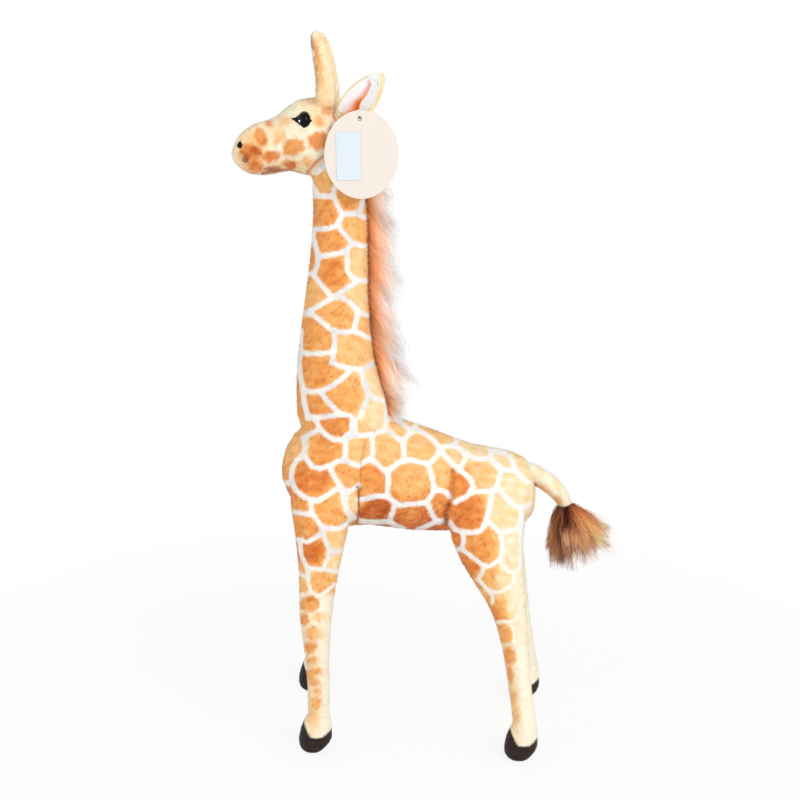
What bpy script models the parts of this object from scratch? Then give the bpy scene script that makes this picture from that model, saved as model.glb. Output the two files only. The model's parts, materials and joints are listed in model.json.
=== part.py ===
"""A standing plush giraffe: stuffed covers over a wire frame.

Metres, +Z up, the face towards -X, so the giraffe's left side is at -Y. The hooves stand on z = 0.
Inside, x is measured from the shoulder line. The root empty then centres the figure's reach on x = 0.
A soft form is a loft: stations of (centre, half depth, half width) along a path. The covers are smoothed
shells of it, and the stuffing is the same form drawn in by the cover and a gap.
"""
import math

import bmesh
import bpy
from mathutils import Matrix, Vector

# Cloth, and the gap that touching pieces keep
GAP = 0.0003
STUFFING_GAP = 0.0014
HORN_STUFFING_GAP = 0.0028
TAIL_STUFFING_GAP = 0.0007
COVER = 0.0018
HOOF_COVER = 0.0016
FLAT_DEPTH = 0.0005
SEAM_OVERRUN = 0.004
CUT_OVERRUN = 0.01
MERGE_DISTANCE = 0.00003

# Torso: its length is the legs' distance and what reaches past them
CHEST_OVERHANG = 0.040
HIP_DISTANCE = 0.198
RUMP_OVERHANG = 0.051
TORSO_LENGTH = CHEST_OVERHANG + HIP_DISTANCE + RUMP_OVERHANG
TORSO_DEPTH = 0.124
TORSO_WIDTH = 0.112
TORSO_AXIS_HEIGHT = 0.305

# Neck and head
NECK_LENGTH = 0.375
NECK_DEPTH = 0.070
NECK_WIDTH = 0.064
NECK_BACK = 0.0229
NECK_FOOT_SINK = 0.010
HEAD_LENGTH = 0.131
HEAD_DEPTH = 0.081
HEAD_WIDTH = 0.078
HEAD_FORWARD = 0.1195

# Legs and hooves
FRONT_LEG_TOP_RISE = 0.030
REAR_LEG_TOP_RISE = 0.008
HIP_SPREAD = 0.052
STANCE_WIDTH = 0.156
FRONT_THIGH_DEPTH = 0.072
FRONT_THIGH_WIDTH = 0.054
REAR_THIGH_DEPTH = 0.092
REAR_THIGH_WIDTH = 0.058
RIGHT_FRONT_STEP = -0.018
RIGHT_REAR_STEP = 0.0115
HOOF_HEIGHT = 0.040
HOOF_LENGTH = 0.037
HOOF_WIDTH = 0.035

# Horns
HORN_HEIGHT = 0.083
HORN_THICKNESS = 0.0190
HORN_SPREAD = 0.040
HORN_LEAN = 0.006

# Ears
EAR_LENGTH = 0.068
EAR_WIDTH = 0.034
EAR_CUP = 0.006
EAR_COVER = 0.0018
EAR_LINING = 0.0012
EAR_LINING_GAP = 0.0008
EAR_SEAT_GAP = 0.0007

# Eyes and nostrils
EYE_DIAMETER = 0.0145
EYE_HEIGHT = 0.0066
EYE_SHANK_DIAMETER = 0.0034
EYE_SHANK_LENGTH = 0.013
EYE_BACKING_LENGTH = 0.0235
EYE_BACKING_HEIGHT = 0.0180
EYE_BACKING_THICKNESS = 0.0009
WASHER_DIAMETER = 0.015
WASHER_THICKNESS = 0.0016
WASHER_SINK = 0.0006
NOSTRIL_LENGTH = 0.0048
NOSTRIL_HEIGHT = 0.0070
NOSTRIL_THICKNESS = 0.0009

# Mane, tail and tuft
MANE_DEPTH = 0.049
MANE_WIDTH = 0.024
TAIL_REACH = 0.040
TAIL_DROP = 0.0365
TAIL_THICKNESS = 0.022
TUFT_LENGTH = 0.076
TUFT_DEPTH = 0.070
TUFT_WIDTH = 0.058
TUFT_SHIFT = 0.015

# Frame inside
LEG_WIRE_DIAMETER = 0.0040
ROD_DIAMETER = 0.0050
FRAME_FOOT_HEIGHT = 0.009
CLIP_LENGTH = 0.016
CLIP_WIDTH = 0.016
CLIP_HEIGHT = 0.015
ROD_BEND_SHARE = 0.08

# Hang tag, its sticker and its fastener
TAG_WIDTH = 0.0785
TAG_HEIGHT = 0.0925
TAG_THICKNESS = 0.0005
TAG_LEAF_GAP = 0.0006
TAG_HOLE_DIAMETER = 0.0044
TAG_HOLE_INSET = 0.0092
TAG_CLEAR = 0.0125
TAG_LEAN = 0.0022
STICKER_WIDTH = 0.0260
STICKER_HEIGHT = 0.0500
STICKER_THICKNESS = 0.0003
STICKER_TILT = math.radians(-2.0)
STICKER_PLACE_SHARES = (-0.17, -0.02)
FILAMENT_DIAMETER = 0.0008
TEE_LENGTH = 0.0090
TEE_DIAMETER = 0.0012
TEE_STANDOFF = 0.0050
PADDLE_LENGTH = 0.0046
PADDLE_WIDTH = 0.0024
PADDLE_THICKNESS = 0.0009

# Facets: sides of each form's cage, before smoothing
BODY_SIDES = 10
LIMB_SIDES = 8
TRIM_SIDES = 6
ROUND_STEPS = 16
WIRE_FACETS = 2
EYE_STEPS = 5

# Which ends of a form are closed: the first and the last
OPEN = (False, False)
BOTTOM_CLOSED = (True, False)
# How far smoothing draws a closed end's ring towards the next ring
CLOSED_END_SHARE = 0.26

# Stations as shares. Torso and head: along, rise, depth, width
TORSO_SHARES = (
    (0.012, -0.10, 0.46, 0.44),
    (0.070, -0.04, 0.96, 0.84),
    (0.190, 0.07, 1.13, 1.02),
    (0.360, 0.10, 1.05, 1.02),
    (0.540, 0.000, 0.99, 1.00),
    (0.730, -0.067, 0.79, 0.98),
    (0.910, -0.085, 0.77, 0.90),
    (1.010, -0.065, 0.46, 0.48),
)
HEAD_SHARES = (
    (0.023, -0.100, 0.27, 0.30),
    (0.060, -0.130, 0.49, 0.54),
    (0.150, -0.196, 0.68, 0.69),
    (0.290, -0.170, 0.73, 0.72),
    (0.430, -0.094, 0.69, 0.75),
    (0.600, -0.028, 1.10, 1.02),
    (0.850, 0.062, 0.94, 0.96),
    (0.990, 0.050, 0.42, 0.42),
)
# Neck: up, back, depth, width
NECK_SHARES = (
    (0.000, 0.10, 1.30, 1.25),
    (0.110, 0.105, 1.56, 1.52),
    (0.210, 0.060, 1.51, 1.38),
    (0.330, -0.060, 1.29, 1.20),
    (0.550, -0.040, 1.00, 1.03),
    (0.780, 0.026, 0.88, 0.93),
    (1.000, -0.110, 0.78, 0.82),
)
# Legs: up, back, depth, width, inward from the hoof's place to the hip's
FRONT_LEG_SHARES = (
    (0.000, 0.145, 0.340, 0.45, 0.00),
    (0.230, 0.108, 0.340, 0.46, 0.15),
    (0.400, 0.046, 0.515, 0.66, 0.27),
    (0.560, 0.087, 0.585, 0.73, 0.40),
    (0.740, 0.118, 0.850, 0.92, 0.56),
    (0.900, 0.094, 1.065, 0.98, 0.80),
    (1.000, 0.105, 0.760, 0.40, 1.00),
)
REAR_LEG_SHARES = (
    (0.000, 0.527, 0.284, 0.43, 0.00),
    (0.226, 0.422, 0.272, 0.43, 0.14),
    (0.420, 0.328, 0.356, 0.55, 0.27),
    (0.550, 0.234, 0.476, 0.66, 0.37),
    (0.714, 0.030, 0.783, 0.88, 0.51),
    (0.860, -0.060, 1.020, 1.02, 0.70),
    (1.000, 0.033, 0.740, 0.45, 1.00),
)
# Hoof: up, forward of the leg, depth, width
HOOF_SHARES = (
    (0.00, 0.20, 0.82, 0.80),
    (0.12, 0.24, 1.06, 1.04),
    (0.55, 0.17, 1.02, 1.00),
    (1.00, 0.00, 0.70, 0.72),
)
# Horn: up, forward, thickness
HORN_SHARES = (
    (0.00, 0.00, 1.36),
    (0.35, 0.02, 1.04),
    (0.75, 0.33, 0.96),
    (1.00, 0.69, 0.56),
)
# Mane: up the neck, depth, width
MANE_SHARES = (
    (0.170, 0.18, 0.40),
    (0.225, 0.50, 0.85),
    (0.310, 0.90, 1.00),
    (0.450, 1.00, 1.00),
    (0.600, 1.00, 1.00),
    (0.760, 1.00, 0.95),
    (0.850, 0.88, 0.80),
    (0.895, 0.42, 0.50),
)
MANE_SINK_SHARE = 0.10
# Tail: its root's place on the rump, then out, down, thickness
TAIL_RISE_SHARE = 0.70
TAIL_PROUD_SHARE = 0.45
TAIL_SHARES = (
    (-0.205, -0.132, 0.52),
    (-0.100, -0.064, 0.96),
    (0.040, 0.026, 0.98),
    (0.420, 0.270, 0.86),
    (0.720, 0.620, 0.70),
    (1.000, 1.000, 0.54),
)
# Tuft: how far past the tail's end it turns, as a share of the end's radius, then down, depth, width
TUFT_OUT_SHARE = 0.60
TUFT_SHARES = (
    (-0.05, 0.10, 0.10),
    (0.05, 0.20, 0.22),
    (0.20, 0.63, 0.64),
    (0.46, 1.03, 1.00),
    (0.76, 1.05, 1.00),
    (1.00, 0.46, 0.42),
)
# Ear: along, half width
EAR_SHARES = ((0.00, 0.42), (0.16, 0.92), (0.34, 1.00), (0.56, 0.90), (0.78, 0.68), (1.00, 0.22))
EAR_COLUMNS = 2
EAR_LINING_MARGIN_SHARE = 0.12

# Places on the head, as shares: along it, and the angle up its side
EYE_ALONG_SHARE = 0.612
EYE_ANGLE = math.radians(30.0)
NOSTRIL_ALONG_SHARE = 0.085
NOSTRIL_ANGLE = math.radians(14.0)
EAR_ALONG_SHARE = 0.915
EAR_ANGLE = math.radians(28.0)
HORN_ALONG_SHARE = 0.790
HORN_FOOT_SHARE = 0.70
EAR_DIRECTION = Vector((0.58, 0.30, 0.755)).normalized()
EAR_FACING = Vector((-0.30, 0.94, -0.10)).normalized()
TAG_ON_EAR_SHARES = (0.30, 0.74)


def clear_scene():
    """Removes every object that the file started with."""
    for thing in list(bpy.data.objects):
        bpy.data.objects.remove(thing, do_unlink=True)


def collection(name):
    """Makes a collection in the scene."""
    made = bpy.data.collections.new(name)
    bpy.context.scene.collection.children.link(made)
    return made


def material(name, colour, roughness, metallic=0.0):
    """Makes a Principled material from a linear colour."""
    made = bpy.data.materials.new(name)
    made.use_nodes = True
    shader = made.node_tree.nodes["Principled BSDF"]
    shader.inputs["Base Color"].default_value = (*colour, 1.0)
    shader.inputs["Roughness"].default_value = roughness
    shader.inputs["Metallic"].default_value = metallic
    made.diffuse_color = (*colour, 1.0)
    return made


def add_part(name, data, look):
    """Puts a mesh or curve into the giraffe's collection, under the root."""
    part = bpy.data.objects.new(name, data)
    PARTS.objects.link(part)
    part.parent = ROOT
    data.materials.append(LOOKS[look])
    return part


def add_cutter(name, data):
    """Puts a mesh into the cutters' collection, hidden from the model."""
    cutter = bpy.data.objects.new(name, data)
    CUTTERS.objects.link(cutter)
    cutter.parent = ROOT
    cutter.hide_render = True
    cutter.display_type = "WIRE"
    return cutter


def boolean(part, other, operation="DIFFERENCE"):
    """Adds an exact Boolean with another object."""
    step = part.modifiers.new(operation.title() + "_" + other.name, "BOOLEAN")
    step.operation = operation
    step.object = other
    step.solver = "EXACT"


def smooth(part, levels=1):
    """Adds a Subdivision Surface that averages the cage, as relaxed() does, and isn't pulled to the limit."""
    step = part.modifiers.new("Smooth", "SUBSURF")
    step.use_limit_surface = False
    step.levels = levels
    step.render_levels = levels


def thicken(part, thickness):
    """Makes a shell of a surface, inwards from it."""
    step = part.modifiers.new("Cloth", "SOLIDIFY")
    step.thickness = thickness
    step.offset = -1.0


def frames(stations):
    """Gives each station its direction along the path, its side and its upward direction."""
    found = []
    last = len(stations) - 1
    for place in range(len(stations)):
        before = stations[max(place - 1, 0)][0]
        after = stations[min(place + 1, last)][0]
        along = (after - before).normalized()
        side = (Vector((0.0, 1.0, 0.0)) - along * along.y).normalized()
        found.append((along, side, along.cross(side)))
    return found


def relaxed(stations, closed=(True, True)):
    """Gives the stations as one smoothing step leaves them, for a plain core in a smoothed cover."""
    found = [drawn_in(stations[0], stations[1]) if closed[0] else stations[0]]
    for before, here, after in zip(stations, stations[1:], stations[2:]):
        found.append(tuple(b / 8.0 + h * 0.75 + a / 8.0 for b, h, a in zip(before, here, after)))
    return found + [drawn_in(stations[-1], stations[-2]) if closed[1] else stations[-1]]


def drawn_in(end, following):
    """Gives a closed end's ring where smoothing draws it to, along the path."""
    centre, depth, width = end
    return centre.lerp(following[0], CLOSED_END_SHARE), depth, width


def loft_mesh(name, stations, sides, grow=0.0, closed=(True, True), caged=True):
    """Lofts elliptical rings. A caged loft is widened so that smoothing brings it back to size."""
    widen = 1.0 / math.cos(math.pi / sides) if caged else 1.0
    sheet = bmesh.new()
    rings = []
    for place, ((centre, depth, width), (along, side, up)) in enumerate(zip(stations, frames(stations))):
        end = (place == len(stations) - 1) - (place == 0)
        middle = centre + along * grow * end
        ring = []
        for turn in range(sides):
            angle = math.tau * (turn + 0.5) / sides
            across = side * math.cos(angle) * (width + grow) * widen
            rise = up * math.sin(angle) * (depth + grow) * widen
            ring.append(sheet.verts.new(middle + across + rise))
        rings.append(ring)
    for lower, upper in zip(rings, rings[1:]):
        for turn in range(sides):
            following = (turn + 1) % sides
            sheet.faces.new((lower[turn], lower[following], upper[following], upper[turn]))
    if closed[0]:
        sheet.faces.new(list(reversed(rings[0])))
    if closed[1]:
        sheet.faces.new(rings[-1])
    bmesh.ops.recalc_face_normals(sheet, faces=sheet.faces)
    if not all(closed):
        turn_outwards(sheet, rings[1], stations[1][0])
    mesh = bpy.data.meshes.new(name)
    sheet.to_mesh(mesh)
    sheet.free()
    mesh.shade_smooth()
    return mesh


def turn_outwards(sheet, ring, centre):
    """Flips an open sheet whose faces point at its own centre line."""
    face = ring[0].link_faces[0]
    if face.normal.dot(face.calc_center_median() - centre) < 0.0:
        bmesh.ops.reverse_faces(sheet, faces=sheet.faces)


def solid_cutter(name, stations, sides, grow):
    """Makes a smoothed solid of a form, grown on all sides, to cut its neighbours with."""
    cutter = add_cutter(name, loft_mesh(name, stations, sides, grow))
    smooth(cutter)
    return cutter


def cover(name, stations, sides, look, thickness=COVER, closed=(True, True)):
    """Makes a form's cloth: a smoothed shell."""
    part = add_part(name, loft_mesh(name, stations, sides, closed=closed), look)
    smooth(part)
    thicken(part, thickness)
    return part


def core(name, stations, sides, thickness=COVER, gap=STUFFING_GAP, closed=(True, True)):
    """Makes a form's stuffing: a solid drawn in from the cover, whose ends are as closed as the cover's."""
    inside = inset_stations(relaxed(stations, closed), thickness + gap)
    return add_part(name, loft_mesh(name, inside, sides, caged=False), "stuffing")


def inset_stations(stations, inset):
    """Draws stations in by a distance square to the form, which is more across the path where it tapers."""
    found = []
    last = len(stations) - 1
    for place, (centre, depth, width) in enumerate(stations):
        before = stations[max(place - 1, 0)]
        after = stations[min(place + 1, last)]
        run = after[0] - before[0]
        end = (place == 0) - (place == last)
        high = inset * math.hypot(1.0, (after[1] - before[1]) / run.length)
        wide = inset * math.hypot(1.0, (after[2] - before[2]) / run.length)
        found.append((centre + run.normalized() * inset * end, depth - high, width - wide))
    return found


def wire_curve(name, points, radius):
    """Makes a round wire through the points, with closed ends."""
    curve = bpy.data.curves.new(name, "CURVE")
    curve.dimensions = "3D"
    spline = curve.splines.new("POLY")
    spline.points.add(len(points) - 1)
    for knot, point in zip(spline.points, points):
        knot.co = (*point, 1.0)
    curve.bevel_depth = radius
    curve.bevel_resolution = WIRE_FACETS
    curve.use_fill_caps = True
    return curve


def wire_cutter(name, points, radius):
    """Makes a closed mesh of a wire, to cut its channel with."""
    curve = wire_curve(name + "_path", points, radius)
    holder = bpy.data.objects.new(name + "_path", curve)
    CUTTERS.objects.link(holder)
    graph = bpy.context.evaluated_depsgraph_get()
    mesh = bpy.data.meshes.new_from_object(holder.evaluated_get(graph))
    bpy.data.objects.remove(holder, do_unlink=True)
    sheet = bmesh.new()
    sheet.from_mesh(mesh)
    bmesh.ops.remove_doubles(sheet, verts=sheet.verts, dist=MERGE_DISTANCE)
    bmesh.ops.recalc_face_normals(sheet, faces=sheet.faces)
    sheet.to_mesh(mesh)
    sheet.free()
    return add_cutter(name, mesh)


def slab(name, bottom, top):
    """Makes a flat cutter under the whole figure, between two heights."""
    cutter = add_cutter(name, box_mesh(name, 2 * TORSO_LENGTH, 2 * STANCE_WIDTH, top - bottom))
    cutter.location = (HIP_DISTANCE / 2, 0.0, (top + bottom) / 2)


def disc_mesh(name, radius, length, steps=ROUND_STEPS):
    """Makes a cylinder about Z, centred at the origin."""
    sheet = bmesh.new()
    bmesh.ops.create_cone(sheet, cap_ends=True, segments=steps, radius1=radius, radius2=radius, depth=length)
    mesh = bpy.data.meshes.new(name)
    sheet.to_mesh(mesh)
    sheet.free()
    return mesh


def box_mesh(name, length, width, height):
    """Makes a box centred at the origin."""
    sheet = bmesh.new()
    bmesh.ops.create_cube(sheet, size=1.0)
    bmesh.ops.scale(sheet, vec=(length, width, height), verts=sheet.verts)
    mesh = bpy.data.meshes.new(name)
    sheet.to_mesh(mesh)
    sheet.free()
    return mesh


def turned(name, profile, look=None):
    """Turns a profile of (radius, height) points about Z with a Screw modifier."""
    mesh = bpy.data.meshes.new(name)
    points = [(radius, 0.0, height) for radius, height in profile]
    mesh.from_pydata(points, [(n, n + 1) for n in range(len(points) - 1)], [])
    part = add_part(name, mesh, look) if look else add_cutter(name, mesh)
    step = part.modifiers.new("Turn", "SCREW")
    step.steps = ROUND_STEPS
    step.render_steps = ROUND_STEPS
    step.use_merge_vertices = True
    step.merge_threshold = MERGE_DISTANCE
    return part


def aim(part, place, outward, upward=Vector((0.0, 0.0, 1.0))):
    """Places a part with its Z along outward and its Y as near upward as it goes."""
    z_axis = outward.normalized()
    y_axis = (upward - z_axis * upward.dot(z_axis)).normalized()
    x_axis = y_axis.cross(z_axis)
    turn = Matrix((x_axis, y_axis, z_axis)).transposed().to_4x4()
    part.matrix_local = Matrix.Translation(place) @ turn


def mirrored(vector, side):
    """Gives a vector for the left (-1) or right (+1) side from its right-side form."""
    return Vector((vector.x, vector.y * side, vector.z))


# The stations of each form, worked out from the sizes

def torso_stations():
    """Runs from the chest to the rump."""
    return [
        (Vector((along * TORSO_LENGTH - CHEST_OVERHANG, 0.0, TORSO_AXIS_HEIGHT + rise * TORSO_DEPTH)),
         depth * TORSO_DEPTH / 2, width * TORSO_WIDTH / 2)
        for along, rise, depth, width in TORSO_SHARES
    ]


def neck_foot_height():
    """Gives the height of the neck's lowest ring, inside the chest."""
    return TORSO_AXIS_HEIGHT + NECK_FOOT_SINK


def neck_stations():
    """Runs from inside the chest to inside the skull."""
    return [
        (Vector((NECK_BACK + back * NECK_DEPTH, 0.0, neck_foot_height() + up * NECK_LENGTH)),
         depth * NECK_DEPTH / 2, width * NECK_WIDTH / 2)
        for up, back, depth, width in NECK_SHARES
    ]


def head_axis_height():
    """Gives the height of the head's own axis, at the top of the neck."""
    return neck_foot_height() + NECK_LENGTH


def head_point(along, rise):
    """Gives a point on the head's mid-plane from shares of its length and depth."""
    front = NECK_BACK - HEAD_FORWARD
    return Vector((front + along * HEAD_LENGTH, 0.0, head_axis_height() + rise * HEAD_DEPTH))


def head_stations():
    """Runs from the muzzle's tip to the back of the skull."""
    return [
        (head_point(along, rise), depth * HEAD_DEPTH / 2, width * HEAD_WIDTH / 2)
        for along, rise, depth, width in HEAD_SHARES
    ]


def head_surface(along, angle, side):
    """Gives a point on the smoothed head, at an angle up its side, and the direction out of it there."""
    stations = relaxed(head_stations())
    for (centre, depth, width), (after, next_depth, next_width) in zip(stations, stations[1:]):
        reach = head_point(along, 0.0).x
        if centre.x <= reach <= after.x:
            share = (reach - centre.x) / (after.x - centre.x)
            middle = centre.lerp(after, share)
            high = depth + (next_depth - depth) * share
            wide = width + (next_width - width) * share
            slope = (next_width - width) / (after.x - centre.x)
            point = middle + Vector((0.0, wide * math.cos(angle) * side, high * math.sin(angle)))
            out = Vector((-slope, math.cos(angle) * high / wide * side, math.sin(angle) * wide / high))
            return point, out.normalized()
    raise ValueError("the place is off the head")


def leg_stations(shares, hip_x, top_rise, thigh_depth, thigh_width, side, step):
    """Runs from the hoof's top to the hip, inside the torso."""
    top = TORSO_AXIS_HEIGHT + top_rise
    found = []
    for up, back, depth, width, inward in shares:
        spread = (STANCE_WIDTH * (1 - inward) + HIP_SPREAD * inward) / 2
        x = hip_x + back * thigh_depth + step * (1 - up)
        seam = HOOF_HEIGHT - SEAM_OVERRUN
        centre = Vector((x, spread * side, seam + up * (top - seam)))
        found.append((centre, depth * thigh_depth / 2, width * thigh_width / 2))
    return found


def hoof_stations(leg):
    """Runs from the sole to the leg's end, ahead of the leg."""
    foot = leg[0][0]
    rise = HOOF_HEIGHT + SEAM_OVERRUN + FLAT_DEPTH
    return [
        (Vector((foot.x - forward * HOOF_LENGTH / 2, foot.y, up * rise - FLAT_DEPTH)),
         depth * HOOF_LENGTH / 2, width * HOOF_WIDTH / 2)
        for up, forward, depth, width in HOOF_SHARES
    ]


def tail_pivot():
    """Gives the middle of the tail's root, on the rump's upper rear edge."""
    centre, depth, _ = relaxed(torso_stations())[-1]
    rise = depth * TAIL_RISE_SHARE
    return Vector((centre.x + TAIL_THICKNESS * TAIL_PROUD_SHARE, 0.0, centre.z + rise))


def tail_stations():
    """Runs from the root to the tuft."""
    root = tail_pivot()
    return [
        (root + Vector((out * TAIL_REACH, 0.0, -down * TAIL_DROP)),
         size * TAIL_THICKNESS / 2, size * TAIL_THICKNESS / 2)
        for out, down, size in TAIL_SHARES
    ]


def tuft_pivot():
    """Gives the point where the tuft turns on the tail's end."""
    end, radius, _ = tail_stations()[-1]
    along = frames(tail_stations())[-1][0]
    return end + along * (radius * TUFT_OUT_SHARE + GAP)


def tuft_stations():
    """Runs from the tail's end down to the tuft's tips."""
    top = tuft_pivot()
    return [
        (top + Vector((down * TUFT_SHIFT, 0.0, -down * TUFT_LENGTH)),
         depth * TUFT_DEPTH / 2, width * TUFT_WIDTH / 2)
        for down, depth, width in TUFT_SHARES
    ]


def horn_stations(side):
    """Runs from inside the skull to the horn's tip, which leans forward."""
    foot = head_point(HORN_ALONG_SHARE, 0.0)
    foot.z += HEAD_DEPTH / 2 * HORN_FOOT_SHARE
    found = []
    for up, forward, size in HORN_SHARES:
        across = side * (HORN_SPREAD / 2 + up * HORN_LEAN)
        centre = foot + Vector((-forward * HORN_THICKNESS, across, up * HORN_HEIGHT))
        found.append((centre, size * HORN_THICKNESS / 2, size * HORN_THICKNESS / 2))
    return found


def mane_stations():
    """Runs up the back of the neck, its front sunk in the neck's outline."""
    neck = relaxed(neck_stations())
    found = []
    for up, depth, width in MANE_SHARES:
        height = neck_foot_height() + up * NECK_LENGTH
        for (centre, size, _), (after, next_size, _) in zip(neck, neck[1:]):
            if centre.z <= height <= after.z:
                share = (height - centre.z) / (after.z - centre.z)
                rear = centre.x + size + (after.x + next_size - centre.x - size) * share
        half = depth * MANE_DEPTH / 2
        middle = rear + half - MANE_DEPTH * MANE_SINK_SHARE
        found.append((Vector((middle, 0.0, height)), half, width * MANE_WIDTH / 2))
    return found


# The parts

def make_torso():
    """Makes the torso's cover and stuffing."""
    stations = torso_stations()
    solid_cutter("torso_outline", stations, BODY_SIDES, GAP)
    cover("torso_skin", stations, BODY_SIDES, "plush")
    core("torso_stuffing", stations, BODY_SIDES)


def make_neck():
    """Makes the neck's cover and stuffing, cut by the torso and the head."""
    stations = neck_stations()
    solid_cutter("neck_outline", stations, BODY_SIDES, GAP)
    skin = cover("neck_skin", stations, BODY_SIDES, "plush", closed=OPEN)
    filling = core("neck_stuffing", stations, BODY_SIDES, closed=OPEN)
    for part in (skin, filling):
        boolean(part, CUTTERS.objects["torso_outline"])
        boolean(part, CUTTERS.objects["head_outline"])


def make_head():
    """Makes the head's cover and stuffing."""
    stations = head_stations()
    solid_cutter("head_outline", stations, BODY_SIDES, GAP)
    cover("head_skin", stations, BODY_SIDES, "plush")
    core("head_stuffing", stations, BODY_SIDES)


def make_leg(name, stations):
    """Makes a leg and its hoof: two covers and two cores."""
    skin = cover(name + "_leg_skin", stations, LIMB_SIDES, "plush", closed=OPEN)
    filling = core(name + "_leg_stuffing", stations, LIMB_SIDES, closed=OPEN)
    for part in (skin, filling):
        boolean(part, CUTTERS.objects["torso_outline"])
        boolean(part, CUTTERS.objects["below_the_legs"])
    hoof = hoof_stations(stations)
    shell = cover(name + "_hoof_cover", hoof, TRIM_SIDES, "hoof", HOOF_COVER, closed=BOTTOM_CLOSED)
    boolean(shell, CUTTERS.objects["floor"])
    filling = core(name + "_hoof_stuffing", hoof, TRIM_SIDES, HOOF_COVER, closed=BOTTOM_CLOSED)
    for part in (shell, filling):
        boolean(part, CUTTERS.objects["above_the_hooves"])


def leg_sets():
    """Lists each leg's name and stations."""
    found = []
    for side, label in ((-1, "left"), (1, "right")):
        right = (side + 1) / 2
        front = leg_stations(FRONT_LEG_SHARES, 0.0, FRONT_LEG_TOP_RISE,
                             FRONT_THIGH_DEPTH, FRONT_THIGH_WIDTH, side, RIGHT_FRONT_STEP * right)
        rear = leg_stations(REAR_LEG_SHARES, HIP_DISTANCE, REAR_LEG_TOP_RISE,
                            REAR_THIGH_DEPTH, REAR_THIGH_WIDTH, side, RIGHT_REAR_STEP * right)
        found.append((label + "_front", front))
        found.append((label + "_rear", rear))
    return found


def leg_wire_path(legs, end):
    """Bends one wire up the left leg, across inside the torso and down the right leg."""
    runs = []
    for label in ("left_", "right_"):
        stations = relaxed(legs[label + end])
        foot = stations[0][0]
        run = [Vector((foot.x, foot.y, FRAME_FOOT_HEIGHT))]
        run += [centre for centre, _, _ in stations if centre.z < TORSO_AXIS_HEIGHT - LEG_WIRE_DIAMETER / 2]
        runs.append(run + [Vector((run[-1].x, run[-1].y, TORSO_AXIS_HEIGHT))])
    left, right = runs
    middle = (left[-1].x + right[-1].x) / 2
    left[-1].x = middle
    right[-1].x = middle
    return left + list(reversed(right))


def spine_path(front_x, rear_x):
    """Runs the rod over both leg wires, then up the neck into the head."""
    level = TORSO_AXIS_HEIGHT + (LEG_WIRE_DIAMETER + ROD_DIAMETER) / 2 + GAP
    rise = [centre for centre, _, _ in relaxed(neck_stations()) if centre.z > level + NECK_DEPTH / 2]
    chest = Vector((front_x - CLIP_LENGTH, 0.0, level))
    bend = chest.lerp(rise[0], 0.5) - Vector((NECK_DEPTH * ROD_BEND_SHARE, 0.0, 0.0))
    return [Vector((rear_x + CLIP_LENGTH, 0.0, level)), chest, bend] + rise


def make_clip(end, x):
    """Makes the clip that holds the rod to one leg wire, and its pocket in the stuffing."""
    name = end + "_frame_clip"
    clip = add_part(name, box_mesh(name, CLIP_LENGTH, CLIP_WIDTH, CLIP_HEIGHT), "clip")
    clip.location = (x, 0.0, TORSO_AXIS_HEIGHT + (ROD_DIAMETER + GAP) / 2)
    boolean(clip, CUTTERS.objects[end + "_frame_channel"])
    boolean(clip, CUTTERS.objects["rod_channel"])
    sizes = [size + 2 * GAP for size in (CLIP_LENGTH, CLIP_WIDTH, CLIP_HEIGHT)]
    pocket = add_cutter(end + "_clip_pocket", box_mesh(end + "_clip_pocket", *sizes))
    pocket.location = clip.location
    boolean(PARTS.objects["torso_stuffing"], pocket)


def make_frame():
    """Makes the leg wires, the rod and their clips, and cuts their channels through what they pass."""
    legs = dict(leg_sets())
    bars = {}
    for end in ("front", "rear"):
        path = leg_wire_path(legs, end)
        bars[end] = path[len(path) // 2].x
        name = end + "_leg_frame"
        add_part(name, wire_curve(name, path, LEG_WIRE_DIAMETER / 2), "wire")
        channel = wire_cutter(end + "_frame_channel", path, LEG_WIRE_DIAMETER / 2 + GAP)
        for label in ("left_", "right_"):
            boolean(PARTS.objects[label + end + "_leg_stuffing"], channel)
            boolean(PARTS.objects[label + end + "_hoof_stuffing"], channel)
    spine = spine_path(bars["front"], bars["rear"])
    add_part("spine_neck_rod", wire_curve("spine_neck_rod", spine, ROD_DIAMETER / 2), "rod")
    rod_channel = wire_cutter("rod_channel", spine, ROD_DIAMETER / 2 + GAP)
    for end, x in bars.items():
        make_clip(end, x)
    for name in ("torso_skin", "torso_stuffing"):
        for channel in ("front_frame_channel", "rear_frame_channel", "rod_channel"):
            boolean(PARTS.objects[name], CUTTERS.objects[channel])
    for name in ("neck_stuffing", "head_skin", "head_stuffing"):
        boolean(PARTS.objects[name], rod_channel)


def make_tail():
    """Makes the tail on the rump, and the tuft whose round top sits in the tail's end."""
    stations = tail_stations()
    ball = add_cutter("tail_socket", sphere_mesh("tail_socket", TAIL_THICKNESS / 2 + 2 * GAP))
    ball.location = tail_pivot()
    for name in ("torso_skin", "torso_stuffing"):
        boolean(PARTS.objects[name], ball)
    skin = cover("tail_skin", stations, TRIM_SIDES, "plush", closed=OPEN)
    filling = core("tail_stuffing", stations, TRIM_SIDES, gap=TAIL_STUFFING_GAP, closed=OPEN)
    tuft = add_part("tail_tuft", loft_mesh("tail_tuft", tuft_stations(), LIMB_SIDES), "tuft")
    smooth(tuft)
    end_radius = stations[-1][1]
    knob = add_cutter("tuft_knob", sphere_mesh("tuft_knob", end_radius))
    knob.location = tuft_pivot()
    boolean(tuft, knob, "UNION")
    socket = add_cutter("tuft_socket", sphere_mesh("tuft_socket", end_radius + 2 * GAP))
    socket.location = tuft_pivot()
    for part in (skin, filling):
        boolean(part, socket)


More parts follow.
